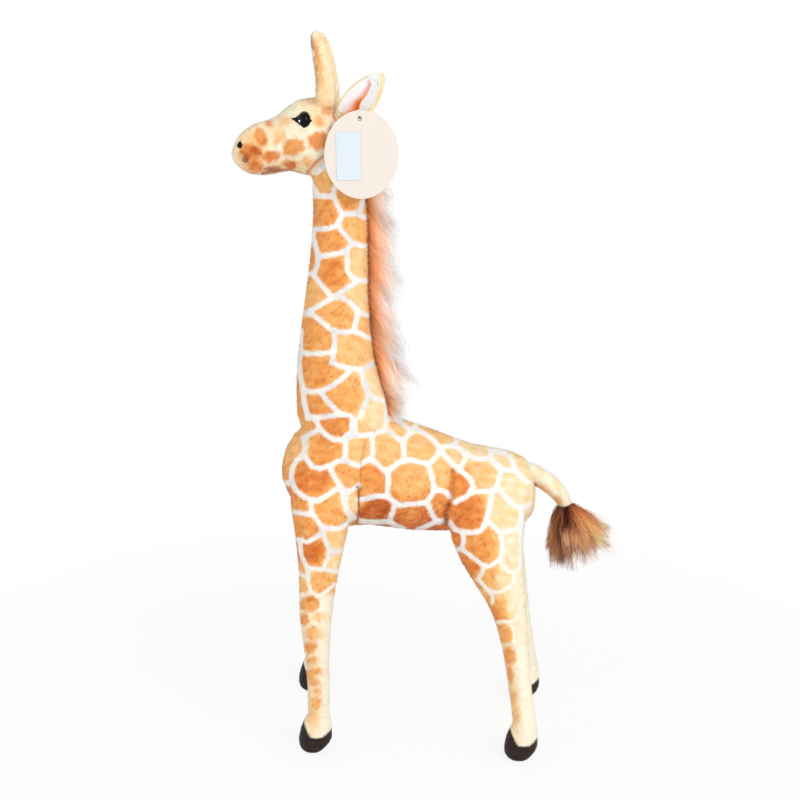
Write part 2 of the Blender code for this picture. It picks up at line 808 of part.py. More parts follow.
def sphere_mesh(name, radius):
    """Makes a ball centred at the origin."""
    sheet = bmesh.new()
    bmesh.ops.create_uvsphere(sheet, u_segments=ROUND_STEPS, v_segments=ROUND_STEPS // 2, radius=radius)
    mesh = bpy.data.meshes.new(name)
    sheet.to_mesh(mesh)
    sheet.free()
    return mesh


def make_mane():
    """Makes the mane's outline on the neck's back."""
    mane = add_part("mane", loft_mesh("mane", mane_stations(), LIMB_SIDES), "mane")
    smooth(mane)
    boolean(mane, CUTTERS.objects["neck_outline"])
    boolean(mane, CUTTERS.objects["torso_outline"])


def make_horn(side, label):
    """Makes a horn's cover and stuffing, cut by the head."""
    stations = horn_stations(side)
    skin = cover(label + "_horn_skin", stations, TRIM_SIDES, "horn")
    filling = core(label + "_horn_stuffing", stations, TRIM_SIDES, gap=HORN_STUFFING_GAP)
    for part in (skin, filling):
        boolean(part, CUTTERS.objects["head_outline"])


def make_eye(side, label):
    """Makes a domed eye on its shank, the dark backing round it, and the washer that locks it inside."""
    place, out = head_surface(EYE_ALONG_SHARE, EYE_ANGLE, side)
    radius = EYE_DIAMETER / 2
    shank = EYE_SHANK_DIAMETER / 2
    turns = [n * math.pi / 2 / EYE_STEPS for n in reversed(range(EYE_STEPS))]
    dome = [(0.0, EYE_HEIGHT)] + [(radius * math.cos(turn), EYE_HEIGHT * math.sin(turn)) for turn in turns]
    eye = turned(label + "_eye", dome + [(radius, -EYE_HEIGHT), (0.0, -EYE_HEIGHT)], "eye")
    aim(eye, place, out)
    boolean(eye, CUTTERS.objects["head_outline"])
    stem_name = label + "_eye_stem"
    stem = add_cutter(stem_name, disc_mesh(stem_name, shank, EYE_SHANK_LENGTH + EYE_HEIGHT / 2))
    aim(stem, place + out * (EYE_HEIGHT / 2 - EYE_SHANK_LENGTH) / 2, out)
    boolean(eye, stem, "UNION")
    hole_name = label + "_eye_hole"
    hole = add_cutter(hole_name, disc_mesh(hole_name, shank + GAP, EYE_SHANK_LENGTH + CUT_OVERRUN))
    aim(hole, place + out * (CUT_OVERRUN - EYE_SHANK_LENGTH - 2 * GAP) / 2, out)
    boolean(PARTS.objects["head_skin"], hole)
    boolean(PARTS.objects["head_stuffing"], hole)
    make_washer(label, place - out * (COVER + WASHER_SINK + WASHER_THICKNESS / 2), out, hole)
    backing = patch(label + "_eye_backing", place, out, EYE_BACKING_LENGTH, EYE_BACKING_HEIGHT,
                    EYE_OUTLINE, "backing")
    ring_name = label + "_eye_clear"
    ring = add_cutter(ring_name, disc_mesh(ring_name, radius + GAP, 2 * CUT_OVERRUN))
    aim(ring, place, out)
    boolean(backing, ring)


def make_washer(label, middle, out, hole):
    """Makes the lock washer on an eye's shank, and its pocket in the stuffing."""
    name = label + "_eye_washer"
    washer = add_part(name, disc_mesh(name, WASHER_DIAMETER / 2, WASHER_THICKNESS), "washer")
    aim(washer, middle, out)
    boolean(washer, hole)
    boolean(washer, INNER_HEAD, "INTERSECT")
    pocket_name = label + "_washer_pocket"
    grown = disc_mesh(pocket_name, WASHER_DIAMETER / 2 + GAP, WASHER_THICKNESS + 2 * GAP)
    pocket = add_cutter(pocket_name, grown)
    aim(pocket, middle, out)
    boolean(PARTS.objects["head_stuffing"], pocket)


def patch(name, place, out, length, height, limit, look):
    """Makes a thin oval piece that follows the head: an oval bar, kept between two outlines of the head."""
    mesh = disc_mesh(name, 0.5, 1.0)
    mesh.transform(Matrix.Diagonal((length, height, 2 * CUT_OVERRUN, 1.0)))
    part = add_part(name, mesh, look)
    aim(part, place, out)
    boolean(part, limit, "INTERSECT")
    boolean(part, CUTTERS.objects["head_outline"])
    return part


def ear_frame(side):
    """Gives the ear's seat, its length, its facing and its breadth directions."""
    place, out = head_surface(EAR_ALONG_SHARE, EAR_ANGLE, side)
    along = mirrored(EAR_DIRECTION, side)
    facing = mirrored(EAR_FACING, side)
    facing = (facing - along * facing.dot(along)).normalized()
    breadth = along.cross(facing) * -side
    return place + out * (EAR_SEAT_GAP + EAR_COVER / 2 + EAR_LINING / 2), along, facing, breadth


def ear_point(side, along_share, across_share, lift=0.0):
    """Gives a point of the ear's cupped sheet."""
    seat, along, facing, breadth = ear_frame(side)
    for (start, wide), (stop, next_wide) in zip(EAR_SHARES, EAR_SHARES[1:]):
        if start <= along_share <= stop:
            half = (wide + (next_wide - wide) * (along_share - start) / (stop - start)) * EAR_WIDTH / 2
    cup = EAR_CUP * (across_share ** 2) * half / (EAR_WIDTH / 2)
    return seat + along * EAR_LENGTH * along_share + breadth * half * across_share + facing * (cup + lift)


def ear_sheet(name, side, lift, margin):
    """Makes the ear's sheet, drawn in by a margin share."""
    sheet = bmesh.new()
    bmesh.ops.create_grid(sheet, x_segments=len(EAR_SHARES) - 1, y_segments=EAR_COLUMNS, size=1.0)
    for vert in sheet.verts:
        along_share = EAR_SHARES[round((vert.co.x + 1) / 2 * (len(EAR_SHARES) - 1))][0]
        inner = margin + along_share * (1 - 2 * margin)
        vert.co = ear_point(side, inner, vert.co.y * (1 - margin), lift)
    facing = ear_frame(side)[2]
    sheet.faces.ensure_lookup_table()
    sheet.normal_update()
    if sheet.faces[0].normal.dot(facing) < 0.0:
        bmesh.ops.reverse_faces(sheet, faces=sheet.faces)
    mesh = bpy.data.meshes.new(name)
    sheet.to_mesh(mesh)
    sheet.free()
    mesh.shade_smooth()
    return mesh


def make_ear(side, label):
    """Makes an ear: an outer leaf, and a lining just inside its edge."""
    for layer, lift, thickness, margin, look in (
        ("_ear_outer", 0.0, EAR_COVER, 0.0, "plush"),
        ("_ear_lining", EAR_LINING + EAR_LINING_GAP, EAR_LINING, EAR_LINING_MARGIN_SHARE, "lining"),
    ):
        leaf = add_part(label + layer, ear_sheet(label + layer, side, lift, margin), look)
        smooth(leaf)
        thicken(leaf, thickness)
        boolean(leaf, EAR_OUTLINE)


def tag_hole_place():
    """Gives the place where the fastener goes through the left ear."""
    return ear_point(-1, *TAG_ON_EAR_SHARES)


def make_fastener(place, start_y, end_y):
    """Makes the plastic pin through the ear's edge, with a crossbar behind the ear and a paddle in front."""
    outward = Vector((0.0, -1.0, 0.0))
    line = FILAMENT_DIAMETER / 2
    length = start_y - end_y
    middle = Vector((place.x, (start_y + end_y) / 2, place.z))
    pin = add_part("tag_fastener", disc_mesh("tag_fastener", line, length, LIMB_SIDES), "filament")
    aim(pin, middle, outward)
    tee = add_cutter("fastener_tee", disc_mesh("fastener_tee", TEE_DIAMETER / 2, TEE_LENGTH, LIMB_SIDES))
    aim(tee, Vector((place.x, start_y, place.z)), Vector((1.0, 0.0, 0.0)))
    boolean(pin, tee, "UNION")
    paddle_sheet = box_mesh("fastener_paddle", PADDLE_WIDTH, PADDLE_LENGTH, PADDLE_THICKNESS)
    paddle = add_cutter("fastener_paddle", paddle_sheet)
    aim(paddle, Vector((place.x, end_y, place.z)), outward)
    boolean(pin, paddle, "UNION")
    path = add_cutter("fastener_channel", disc_mesh("fastener_channel", line + GAP, length, LIMB_SIDES))
    aim(path, middle, outward)
    for name in ("left_ear_outer", "left_ear_lining"):
        boolean(PARTS.objects[name], path)


def make_tag():
    """Makes the two leaves that hang on the fastener in the left ear, and the sticker on the front one."""
    place = tag_hole_place()
    outward = Vector((0.0, -1.0, 0.0))
    hole = TAG_HOLE_DIAMETER / 2
    back_y = place.y - TAG_CLEAR
    front_y = back_y - TAG_THICKNESS - TAG_LEAF_GAP
    make_fastener(place, place.y + TEE_STANDOFF, front_y - TAG_THICKNESS / 2 - GAP - PADDLE_THICKNESS / 2)
    hole_height = place.z + FILAMENT_DIAMETER / 2 + GAP - hole
    centre = Vector((place.x + TAG_LEAN, 0.0, hole_height + TAG_HOLE_INSET - TAG_HEIGHT / 2))
    for name, y in (("tag_back_leaf", back_y), ("tag_front_leaf", front_y)):
        mesh = disc_mesh(name, 0.5, TAG_THICKNESS, 3 * ROUND_STEPS)
        mesh.transform(Matrix.Diagonal((TAG_WIDTH, TAG_HEIGHT, 1.0, 1.0)))
        leaf = add_part(name, mesh, "card")
        aim(leaf, Vector((centre.x, y, centre.z)), outward)
        eyelet = add_cutter(name + "_hole", disc_mesh(name + "_hole", hole, CUT_OVERRUN))
        aim(eyelet, Vector((place.x, y, hole_height)), outward)
        boolean(leaf, eyelet)
    sticker_sheet = box_mesh("tag_sticker", STICKER_WIDTH, STICKER_HEIGHT, STICKER_THICKNESS)
    label = add_part("tag_sticker", sticker_sheet, "sticker")
    face = front_y - TAG_THICKNESS / 2 - GAP - STICKER_THICKNESS / 2
    across, up = STICKER_PLACE_SHARES
    spot = Vector((centre.x + TAG_WIDTH * across, face, centre.z + TAG_HEIGHT * up))
    aim(label, spot, outward, Vector((math.sin(STICKER_TILT), 0.0, math.cos(STICKER_TILT))))


def hang_on(name, place, parts, parent=None):
    """Puts an empty on a joint's axis and hangs the moving parts on it, where they are."""
    pivot = bpy.data.objects.new(name, None)
    PARTS.objects.link(pivot)
    pivot.parent = parent or ROOT
    pivot.location = place - parent.location if parent else place
    for part_name in parts:
        part = PARTS.objects[part_name]
        part.parent = pivot
        part.location -= place
    return pivot


def hang_moving_parts():
    """Hangs the ears, tail, tuft and tag on their joints' axes."""
    ears = {}
    for side, label in ((-1, "left"), (1, "right")):
        names = [label + "_ear_outer", label + "_ear_lining"]
        if label == "left":
            names.append("tag_fastener")
        ears[label] = hang_on(label + "_ear_fold", ear_frame(side)[0], names)
    leaves = ("tag_back_leaf", "tag_front_leaf", "tag_sticker")
    hang_on("tag_swing", tag_hole_place(), leaves, ears["left"])
    tail = hang_on("tail_wag", tail_pivot(), ("tail_skin", "tail_stuffing"))
    hang_on("tuft_flop", tuft_pivot(), ("tail_tuft",), tail)


def centre_figure():
    """Moves the root so that the figure reaches as far ahead of x = 0 as behind it."""
    graph = bpy.context.evaluated_depsgraph_get()
    reach = []
    for part in PARTS.objects:
        if part.type == "MESH":
            built = part.evaluated_get(graph)
            reach += [(built.matrix_world @ vertex.co).x for vertex in built.data.vertices]
    ROOT.location.x = -(min(reach) + max(reach)) / 2


clear_scene()
PARTS = collection("plush_giraffe")
CUTTERS = collection("cutters")
ROOT = bpy.data.objects.new("figure", None)
PARTS.objects.link(ROOT)
LOOKS = {
    "plush": material("plush", (0.83, 0.42, 0.14), 0.95),
    "horn": material("horn", (0.93, 0.72, 0.40), 0.95),
    "hoof": material("hoof", (0.022, 0.014, 0.014), 0.9),
    "lining": material("lining", (0.90, 0.55, 0.42), 0.95),
    "mane": material("mane", (0.52, 0.19, 0.06), 0.95),
    "tuft": material("tuft", (0.22, 0.08, 0.035), 0.95),
    "stuffing": material("stuffing", (0.88, 0.88, 0.86), 1.0),
    "eye": material("eye", (0.004, 0.004, 0.005), 0.06),
    "backing": material("backing", (0.012, 0.009, 0.008), 0.85),
    "washer": material("washer", (0.75, 0.75, 0.73), 0.45),
    "wire": material("wire", (0.45, 0.45, 0.46), 0.4, 1.0),
    "rod": material("rod", (0.50, 0.50, 0.51), 0.4, 1.0),
    "clip": material("clip", (0.08, 0.08, 0.08), 0.5),
    "card": material("card", (0.94, 0.87, 0.78), 0.8),
    "sticker": material("sticker", (0.90, 0.96, 0.98), 0.35),
    "filament": material("filament", (0.85, 0.85, 0.85), 0.4),
}
slab("floor", -CUT_OVERRUN, 0.0)
slab("below_the_legs", -CUT_OVERRUN, HOOF_HEIGHT + GAP)
slab("above_the_hooves", HOOF_HEIGHT, HOOF_HEIGHT + CUT_OVERRUN)
make_torso()
make_head()
make_neck()
EYE_OUTLINE = solid_cutter("eye_outline", head_stations(), BODY_SIDES, GAP + EYE_BACKING_THICKNESS)
NOSTRIL_OUTLINE = solid_cutter("nostril_outline", head_stations(), BODY_SIDES, GAP + NOSTRIL_THICKNESS)
EAR_OUTLINE = solid_cutter("ear_outline", head_stations(), BODY_SIDES, EAR_SEAT_GAP)
INNER_HEAD = solid_cutter("inner_head", head_stations(), BODY_SIDES, -COVER - GAP)
for leg_name, leg_form in leg_sets():
    make_leg(leg_name, leg_form)
make_tail()
make_frame()
make_mane()
for hand, hand_name in ((-1, "left"), (1, "right")):
    make_horn(hand, hand_name)
    make_eye(hand, hand_name)
    nostril_place, nostril_out = head_surface(NOSTRIL_ALONG_SHARE, NOSTRIL_ANGLE, hand)
    patch(hand_name + "_nostril", nostril_place, nostril_out, NOSTRIL_LENGTH, NOSTRIL_HEIGHT,
          NOSTRIL_OUTLINE, "backing")
    make_ear(hand, hand_name)
make_tag()
hang_moving_parts()
centre_figure()
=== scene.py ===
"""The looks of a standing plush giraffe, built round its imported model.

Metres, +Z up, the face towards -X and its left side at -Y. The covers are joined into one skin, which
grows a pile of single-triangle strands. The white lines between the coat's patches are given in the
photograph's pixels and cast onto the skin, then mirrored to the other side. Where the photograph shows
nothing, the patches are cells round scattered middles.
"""
import json
import math

import bmesh
import bpy
import numpy as np
from mathutils import Matrix, Quaternion, Vector
from mathutils.bvhtree import BVHTree
from mathutils.kdtree import KDTree


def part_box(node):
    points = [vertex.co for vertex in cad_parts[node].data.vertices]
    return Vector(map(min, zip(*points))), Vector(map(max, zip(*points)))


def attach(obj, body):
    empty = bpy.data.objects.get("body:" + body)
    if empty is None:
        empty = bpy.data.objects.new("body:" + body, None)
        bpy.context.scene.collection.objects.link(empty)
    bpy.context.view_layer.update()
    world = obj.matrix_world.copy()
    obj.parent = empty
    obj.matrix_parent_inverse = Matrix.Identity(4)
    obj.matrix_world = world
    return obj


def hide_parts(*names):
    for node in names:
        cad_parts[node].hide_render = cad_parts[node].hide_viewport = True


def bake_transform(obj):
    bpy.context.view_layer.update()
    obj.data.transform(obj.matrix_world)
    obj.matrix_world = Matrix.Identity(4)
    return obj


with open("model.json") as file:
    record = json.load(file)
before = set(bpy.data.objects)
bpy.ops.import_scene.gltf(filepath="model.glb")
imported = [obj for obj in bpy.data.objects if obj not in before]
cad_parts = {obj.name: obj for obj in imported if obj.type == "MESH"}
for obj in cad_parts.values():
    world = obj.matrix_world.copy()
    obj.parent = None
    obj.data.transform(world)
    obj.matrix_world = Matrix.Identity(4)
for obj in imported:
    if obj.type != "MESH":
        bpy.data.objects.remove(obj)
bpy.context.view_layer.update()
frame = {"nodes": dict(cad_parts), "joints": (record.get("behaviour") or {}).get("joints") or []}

NODES = frame["nodes"]
SEED = 11

# The photograph's camera
PHOTO_SIZE = 800
FOCAL_PIXELS = 1310
SENSOR_WIDTH = 36.0
CAMERA_TARGET = Vector((-0.0295, 0.0, 0.398))
CAMERA_DISTANCE = 1.45
CAMERA_HEIGHT = 0.75
CAMERA_YAW = math.radians(2.0)
CAMERA_ROLL = math.radians(1.3)

# The skin
STUFFED = ("torso", "neck", "head", "left_front_leg", "left_rear_leg", "right_front_leg", "right_rear_leg",
           "left_horn", "right_horn")
HOOVES = ("left_front_hoof", "left_rear_hoof", "right_front_hoof", "right_rear_hoof")
SKIN_VOXEL = 0.0022
STUFFING_GROWTH = 0.0022
SKIN_SMOOTHING = 5

# How far the stuffed chest is pressed back, by height, and where along the body the press starts and is full
CHEST_PRESS = ((0.306, 0.0), (0.315, 0.002), (0.326, 0.005), (0.337, 0.0075), (0.349, 0.009), (0.360, 0.009),
               (0.371, 0.003), (0.380, 0.0))
CHEST_PRESS_START = -0.120
CHEST_PRESS_FULL = -0.155

# The hooves
HOOF_EDGE_FRONT = 0.039
HOOF_EDGE_DIP = 0.017
HOOF_EDGE_BACK_RISE = 0.005
HOOF_EDGE_BLUR = 0.0008
HEEL_LIFT = 0.012
TOE_LIFT = 0.004
SOLE_DEPTH = 0.022

# The coat's print
LINE_HALF = 2.6
LEG_LINE_HALF = 1.9
LINE_ROUNDING = 0.75
LINE_REACH = 14
PIXEL_SPAN = 0.0011
HIDDEN_LINE_HALF = 0.0029
PRINT_BLUR = 0.0007
CORNER_ROUNDING = 0.0012
CELL_WARP = 0.0020
CELL_WARP_WAVE = 0.024
NEIGHBOURS = 6
POINTS_AT_ONCE = 20000
MIDDLES_PER_AREA = 4.0e4
TAG_MIDDLE = (362.0, 152.5)
TAG_HALF = (36.0, 44.0)
TONE_SPREAD = 30.0
PRINT_WOBBLES = ((0.007, 3, 0.15),)
SPOT_WOBBLES = ((0.009, 6, 0.9), (0.0035, 13, 0.6))

# How far apart the hidden patches' middles are: on the legs, how much more on the body, how much less above
LEG_SPACING = 0.017
BODY_SPACING_GAIN = 0.019
BODY_HEIGHTS = (0.10, 0.25)
NECK_SPACING_LOSS = 0.006
NECK_HEIGHTS = (0.40, 0.50)

# Where the head's and the lower legs' spots take the place of the patches, in the photograph's pixels
HEAD_EDGE_DOWN = 176.0
HEAD_EDGE_SLOPE = 0.75
HEAD_EDGE_START = 304.0
HEAD_EDGE_REACH = 70.0
HEAD_BACK_EDGE = (345.0, 330.0)
LEGS_PARTING = 400.0
LOW_FRONT_LEG = (591.0, 598.0)
LOW_REAR_LEG = (640.0, 648.0)

# The pile
PILE_PER_AREA = 1.0e6
STRAND_LENGTH = 0.0019
STRAND_WIDTH = 0.00050
STRAND_SINK = 0.0004
# Streaks over the patches: painted shade of the pile's partings, dark, and painted sheen on it, pale
STREAK_WAY = (0.5, 0.0, 0.87)
STREAK_STRETCH = 0.6
STREAK_LENGTH = 0.0042
STREAKS_START_BLUE = 0.42
STREAKS_BLUE_SPAN = 0.30
HEAD_STREAK_LOSS = 0.35
HEAD_HEIGHTS = (0.66, 0.68)
DARK_STREAK_SHARE = 0.92
PALE_STREAK_SHARE = 0.62
STRAND_LENGTH_SHARES = (0.7, 1.2)
COAT_LIFT_DEGREES = (14.0, 40.0)
SMALL_LIFT_DEGREES = (20.0, 50.0)
# Painted shade at the strands' roots: factors for the two root corners and the tip
COAT_ROOT_SHADE = (0.95, 0.95, 1.03)
SMALL_ROOT_SHADE = (0.90, 0.90, 1.03)
PARTING_LENGTH = 0.0075
COAT_LAY = (0.35, 0.0, -1.0)
EAR_LAY = (0.5, 0.0, 0.8)
EAR_PILE_PER_AREA = 1.8e6
TAIL_LAY = (0.6, 0.0, -0.8)
TAIL_PILE_PER_AREA = 1.3e6
QUICK_HAIR_SHARE = 0.4

# Mane, tail and its tuft
TAIL_BEND = 0.012
MANE_HAIRS = 12000
MANE_GUIDES = 120
MANE_ROOT_SPREAD = 0.0050
MANE_SHORT = (0.013, 0.024)
MANE_LONG = (0.026, 0.043)
MANE_HALF_WIDTH = 0.011
TUFT_HAIRS = 7000
TUFT_GUIDES = 70
TUFT_OFFSET = (-0.009, 0.0, -0.003)
TUFT_AXIS = (0.14, 0.0, -0.99)
TUFT_ACROSS = (0.99, 0.0, 0.14)
TUFT_ROOT_RADIUS = 0.0065
TUFT_ROOT_SPAN = (-0.0085, 0.008)
TUFT_REACH = (0.034, 0.062)
TUFT_GUIDE_REACH = (0.046, 0.062)
HAIR_WIDTH = 0.00042
HAIR_STEPS = 7
HAIR_SHARES = np.linspace(0.0, 1.0, HAIR_STEPS + 1)
DOWNWARDS = np.array((0.0, 0.0, -1.0))

# Eyes, nostrils and mouth
EYE_DOME_DEPTH = 0.0066
EYE_DOME_WIDENING = 1.08
EYE_SINK = 0.0004
EYE_RIM_LIFT = 0.0011
NOSTRIL_LIFT = 0.0013
PAD_RINGS = 7
PAD_STEPS = 40
STITCH_RADIUS = 0.0005
STITCH_LIFT = 0.0022

# The dark dot of the tag's fastener
PIN_RADIUS = 0.0011

# The lamp that glints in the eye
GLINT_DISTANCE = 0.6
GLINT_SIZE = 0.20
GLINT_POWER = 22.0

# The studio: each lamp's name, place, size and power, and the floor's glow, which fades in with the distance
LAMPS = (("key", (1.5, -1.9, 1.7), 1.4, 34.0), ("fill", (-1.6, -1.6, 1.0), 1.6, 9.0))
WORLD_STRENGTH = 0.67
FLOOR_REACH = 8.0
FLOOR_FADE = (0.25, 0.9)
FLOOR_GLOW_MIDDLE = 0.86

# Places in the photograph's pixels
EYE_PIXEL = (304.0, 119.5)
EYE_OUTLINE_PIXELS = (
    (289.8, 118.2), (294.5, 117.4), (297.8, 115), (300.2, 112.4), (303, 110.8), (306, 110.9),
    (308.6, 112.6), (310, 115.4), (310.6, 118.6), (312.8, 121), (310.6, 123.2), (309.4, 126),
    (306.8, 127.6), (303.8, 128.8), (300.5, 126.2), (297, 123.4), (293.5, 120.8),
)
GLINT_PIXEL = (299.5, 121.0)
NOSTRIL_PIXELS = (
    (240.4, 140.6), (242.6, 144.8), (241.6, 148.2), (239.2, 148.6), (237.0, 146.4), (238.2, 142.8),
)
MOUTH_PIXELS = ((243.2, 158.6), (246.0, 161.4), (249.0, 159.4))
EAR_FOLD_PIXELS = (
    (369.3, 79.0), (370.6, 84.0), (369.3, 88.8), (367.5, 92.8), (364.8, 97.3), (361.3, 100.8),
    (359.6, 104.5), (359.0, 109.0), (345.0, 118.0),
)
EAR_LINING_PIXELS = (
    (340.5, 119.5), (342.6, 109.3), (346.2, 102.2), (350.0, 96.0), (355.0, 89.2), (359.0, 84.7),
    (363.5, 80.2), (368.0, 76.0), (372.4, 73.6), (376.9, 72.5), (379.4, 74.0), (380.2, 79.0), (379.4, 85.2),
    (378.0, 91.0), (376.2, 97.7), (373.8, 102.5), (370.2, 107.5), (366.0, 113.0), (354.0, 122.0),
)
TAIL_PIXELS = (
    (514.0, 468.0, 9.0), (531.0, 472.0, 10.6), (548.5, 481.5, 10.2), (559.5, 493.0, 8.6),
    (566.5, 505.0, 6.8),
)

# The white lines between the coat's patches, in the photograph's pixels
COAT_LINES = (
    ((309, 177), (313, 186), (317, 194)), ((316, 196), (325, 196), (333, 196), (334, 190), (336, 184)),
    ((333, 196), (338, 206), (342, 214)),
    ((342, 214), (350, 214), (358, 213.5), (361, 208), (363, 200), (364, 195)),
    ((359, 214), (363, 217), (368, 218)),
    ((342, 214), (339, 221), (336, 226), (328, 228.5), (318, 229), (312, 230)),
    ((338, 223), (341, 230), (347, 237), (353, 243), (360, 245.5), (368, 246)),
    ((312, 230), (313.5, 238), (316, 247), (318.5, 256)), ((318.5, 256.5), (317.5, 265), (314.5, 273)),
    ((318.5, 256.5), (326, 255.5), (340, 253), (347, 249.5), (351.5, 244)),
    ((306, 273), (313, 274), (318, 281), (325, 289), (332, 297)),
    ((347, 250), (347, 262), (347.5, 271), (351, 276), (358, 280), (368, 281)),
    ((357, 281), (350, 286), (342, 291.5), (333, 297)), ((333, 297), (322, 304), (314, 308.5), (305, 313)),
    ((333, 297), (343, 298), (350, 302.5), (356, 308.5), (361, 313), (368, 315)),
    ((357, 309), (356.5, 319), (354, 330)), ((305, 313), (313, 315), (321, 321), (328, 326.5), (334, 331)),
    ((334, 331), (345, 332), (354, 331), (362, 334), (371, 339)),
    ((334, 331), (335, 340), (334, 350), (332, 362)),
    ((300, 352.5), (309, 353.5), (320, 353.5), (333, 352)),
    ((332, 362), (338, 365.5), (346, 367), (353, 368.5), (362, 369.5), (368, 367), (373, 363)),
    ((350, 369), (346, 375), (340, 380), (332, 385.5), (325, 389.5), (321, 391.5)),
    ((361, 370), (363, 378), (365, 386), (369, 393.5), (375, 398), (386, 401)),
    ((369, 394), (366, 402), (362.5, 410), (360, 417)), ((303, 389), (309, 391.5), (321, 391.5)),
    ((321, 391.5), (325, 398), (331, 405), (337, 411), (342, 414)),
    ((301, 330), (300.5, 350), (299, 362), (300, 374), (303, 389), (304, 402), (308, 417)),
    ((386, 401), (386.5, 412), (386, 424), (384, 430)),
    ((308, 418), (320, 417), (332, 415.5), (342, 414), (350, 415.5), (354, 420)),
    ((313, 417), (317, 422), (319.5, 429), (311, 433.5), (304, 438)),
    ((319.5, 429), (326, 434.5), (333, 439), (344, 440.5)),
    ((354, 420), (355, 428), (354, 434), (345, 440)), ((352, 424), (352, 431), (345, 437)),
    ((354, 435), (362, 435.5), (372, 434)), ((345, 440), (345.5, 450), (345, 460)),
    ((372, 434), (372.5, 444), (373, 452), (371.5, 459)),
    ((345, 460), (352, 463.5), (359, 466), (365, 461), (371.5, 459)),
    ((304, 438), (305.5, 447), (303.5, 455), (308, 461), (312, 466.5), (320, 468.5), (330, 465.5),
     (337, 461.5), (345, 460)),
    ((303.5, 455), (297, 460), (293, 466), (291.5, 476), (292, 483), (296, 490.5), (303, 496), (311, 500),
     (318, 500.5)), ((284, 483), (292, 483)), ((330, 466), (333, 474), (337.5, 481.5), (341, 487)),
    ((318, 500.5), (326, 496), (333, 491), (341, 487), (346, 491.5)),
    ((346, 491.5), (352, 490), (359, 485)), ((346, 492), (345, 502), (346, 510.5), (352, 515), (357, 518)),
    ((311, 500), (311, 507), (312.5, 514), (317, 520), (322, 527)),
    ((322, 527), (331, 528.5), (339, 528.5), (347, 523.5), (352, 517)),
    ((295, 512), (303, 513.5), (312, 514)), ((322, 527), (323.5, 536), (327, 544), (330, 551)),
    ((298, 539), (307, 542), (315, 538), (323, 532)),
    ((371.5, 459), (378, 464.5), (384, 470.5), (388, 472)),
    ((386, 471), (393, 467), (399, 462.5), (404, 460)), ((388, 472), (388, 481), (387.5, 490), (387, 496)),
    ((358, 499.5), (368, 498), (378, 495.5), (387, 496)),
    ((387, 496), (393, 501), (400, 505), (411, 504), (420, 503.5), (427, 502)),
    ((395, 503), (393, 511), (389, 521.5)), ((360, 521), (375, 522), (389, 521.5), (395, 525), (404, 529)),
    ((369, 434), (377, 432.5), (384, 430.5), (388, 430), (394, 435), (400, 440), (403.5, 441)),
    ((388, 419), (395, 418.5), (401, 422.5), (407, 427.5), (412, 431)),
    ((314, 172), (319, 166), (324, 163)), ((317, 172), (321, 169), (326, 166)),
    ((403.5, 441), (407, 436), (412, 431), (418, 430.5), (425, 434), (432, 439), (437, 444), (440, 448.5)),
    ((342, 491), (343.5, 500), (346.5, 509), (351, 516)), ((411, 431), (415, 427), (417, 422)),
    ((453, 445.5), (456.5, 442), (458, 438)), ((403.5, 441), (403.5, 451), (404, 460)),
    ((440, 448), (446, 446), (453, 445.5), (460, 448.5), (465, 453)),
    ((440, 448.5), (437, 456), (432, 461), (428, 464)), ((404, 460), (412, 460), (420, 462), (428, 464)),
    ((428, 464), (431, 473), (433, 482), (434.5, 490)),
    ((440, 449), (446, 457), (452, 463.5), (459, 469.5)),
    ((465, 453), (465, 460), (461, 466), (459, 469.5)), ((465, 453), (472, 457), (479, 459), (490, 458.5)),
    ((459, 469.5), (466, 474.5), (471, 480.5), (473, 487), (471, 492)),
    ((471, 492), (466, 496.5), (460, 499.5), (455, 502)),
    ((434.5, 490), (441, 490), (447, 493), (450, 497)), ((434.5, 490), (431, 496), (427, 502)),
    ((427, 502), (430, 509), (433, 516), (437, 520.5), (443, 521)),
    ((443, 521), (434, 522.5), (426, 526), (417, 530)),
    ((488, 445), (491, 452), (490, 458.5), (496, 463.5), (501, 470)),
    ((493, 451), (502, 452.5), (510, 456.5), (513, 463), (515, 470.5)),
    ((490, 458.5), (497, 465), (504, 470), (515, 470.5), (521, 476.5), (528, 482)),
    ((501, 470), (499, 478), (497, 486), (494, 490.5)),
    ((471, 492), (480, 491.5), (488, 491), (494, 490.5)),
    ((497, 487), (503, 493.5), (509, 501), (515, 506), (523, 507.5), (529, 505)),
    ((492, 491), (491, 500), (489.5, 509), (487, 517), (484, 526)),
    ((484, 526), (480.5, 531), (472, 532.5), (462, 532), (455, 529.5), (450, 522)),
    ((487, 520), (493, 526), (498, 531), (504, 532), (511, 531), (518, 527), (522, 519)),
    ((501, 533), (502, 543), (502, 552), (500, 561)), ((463, 532), (463.5, 540), (462, 549)),
    ((457, 549), (462, 549.5), (469, 554.5), (477, 560.5), (484, 566)),
    ((484, 566), (490, 566), (496, 562), (500, 560)), ((484, 566), (482, 572), (478, 579)),
    ((500, 560), (503, 566), (508, 571), (515, 572), (520, 568)),
    ((479, 580), (486, 588), (493, 592), (501, 591.5), (508, 588), (513, 582), (514, 575)),
    ((522, 507), (521, 530), (522, 550), (520, 568)), ((486, 588), (490, 592), (493, 597), (492, 603)),
    ((498, 622), (504, 621.5), (510, 622.5), (516, 618), (520, 610), (521, 600)),
    ((510, 623), (513, 628), (515, 635), (514, 642), (510, 646.5)), ((501, 646), (506, 647), (510, 646.5)),
    ((330, 551), (336, 551.5), (343, 550), (348, 546)),
    ((330, 551), (329, 556), (326, 561), (324, 567), (322, 569)),
    ((300, 541), (300.5, 550), (302, 557), (305, 563), (308, 568)),
    ((308, 568), (316, 569), (323, 569), (330, 570.5), (337, 571)),
    ((308, 568), (308, 575), (308, 582), (310, 589), (313, 594)), ((300, 574), (306, 576.5)),
    ((300, 594), (306, 595), (311, 594), (316, 595.5), (320, 596.5)),
    ((320, 596.5), (325, 592), (330, 588), (335, 584)),
)

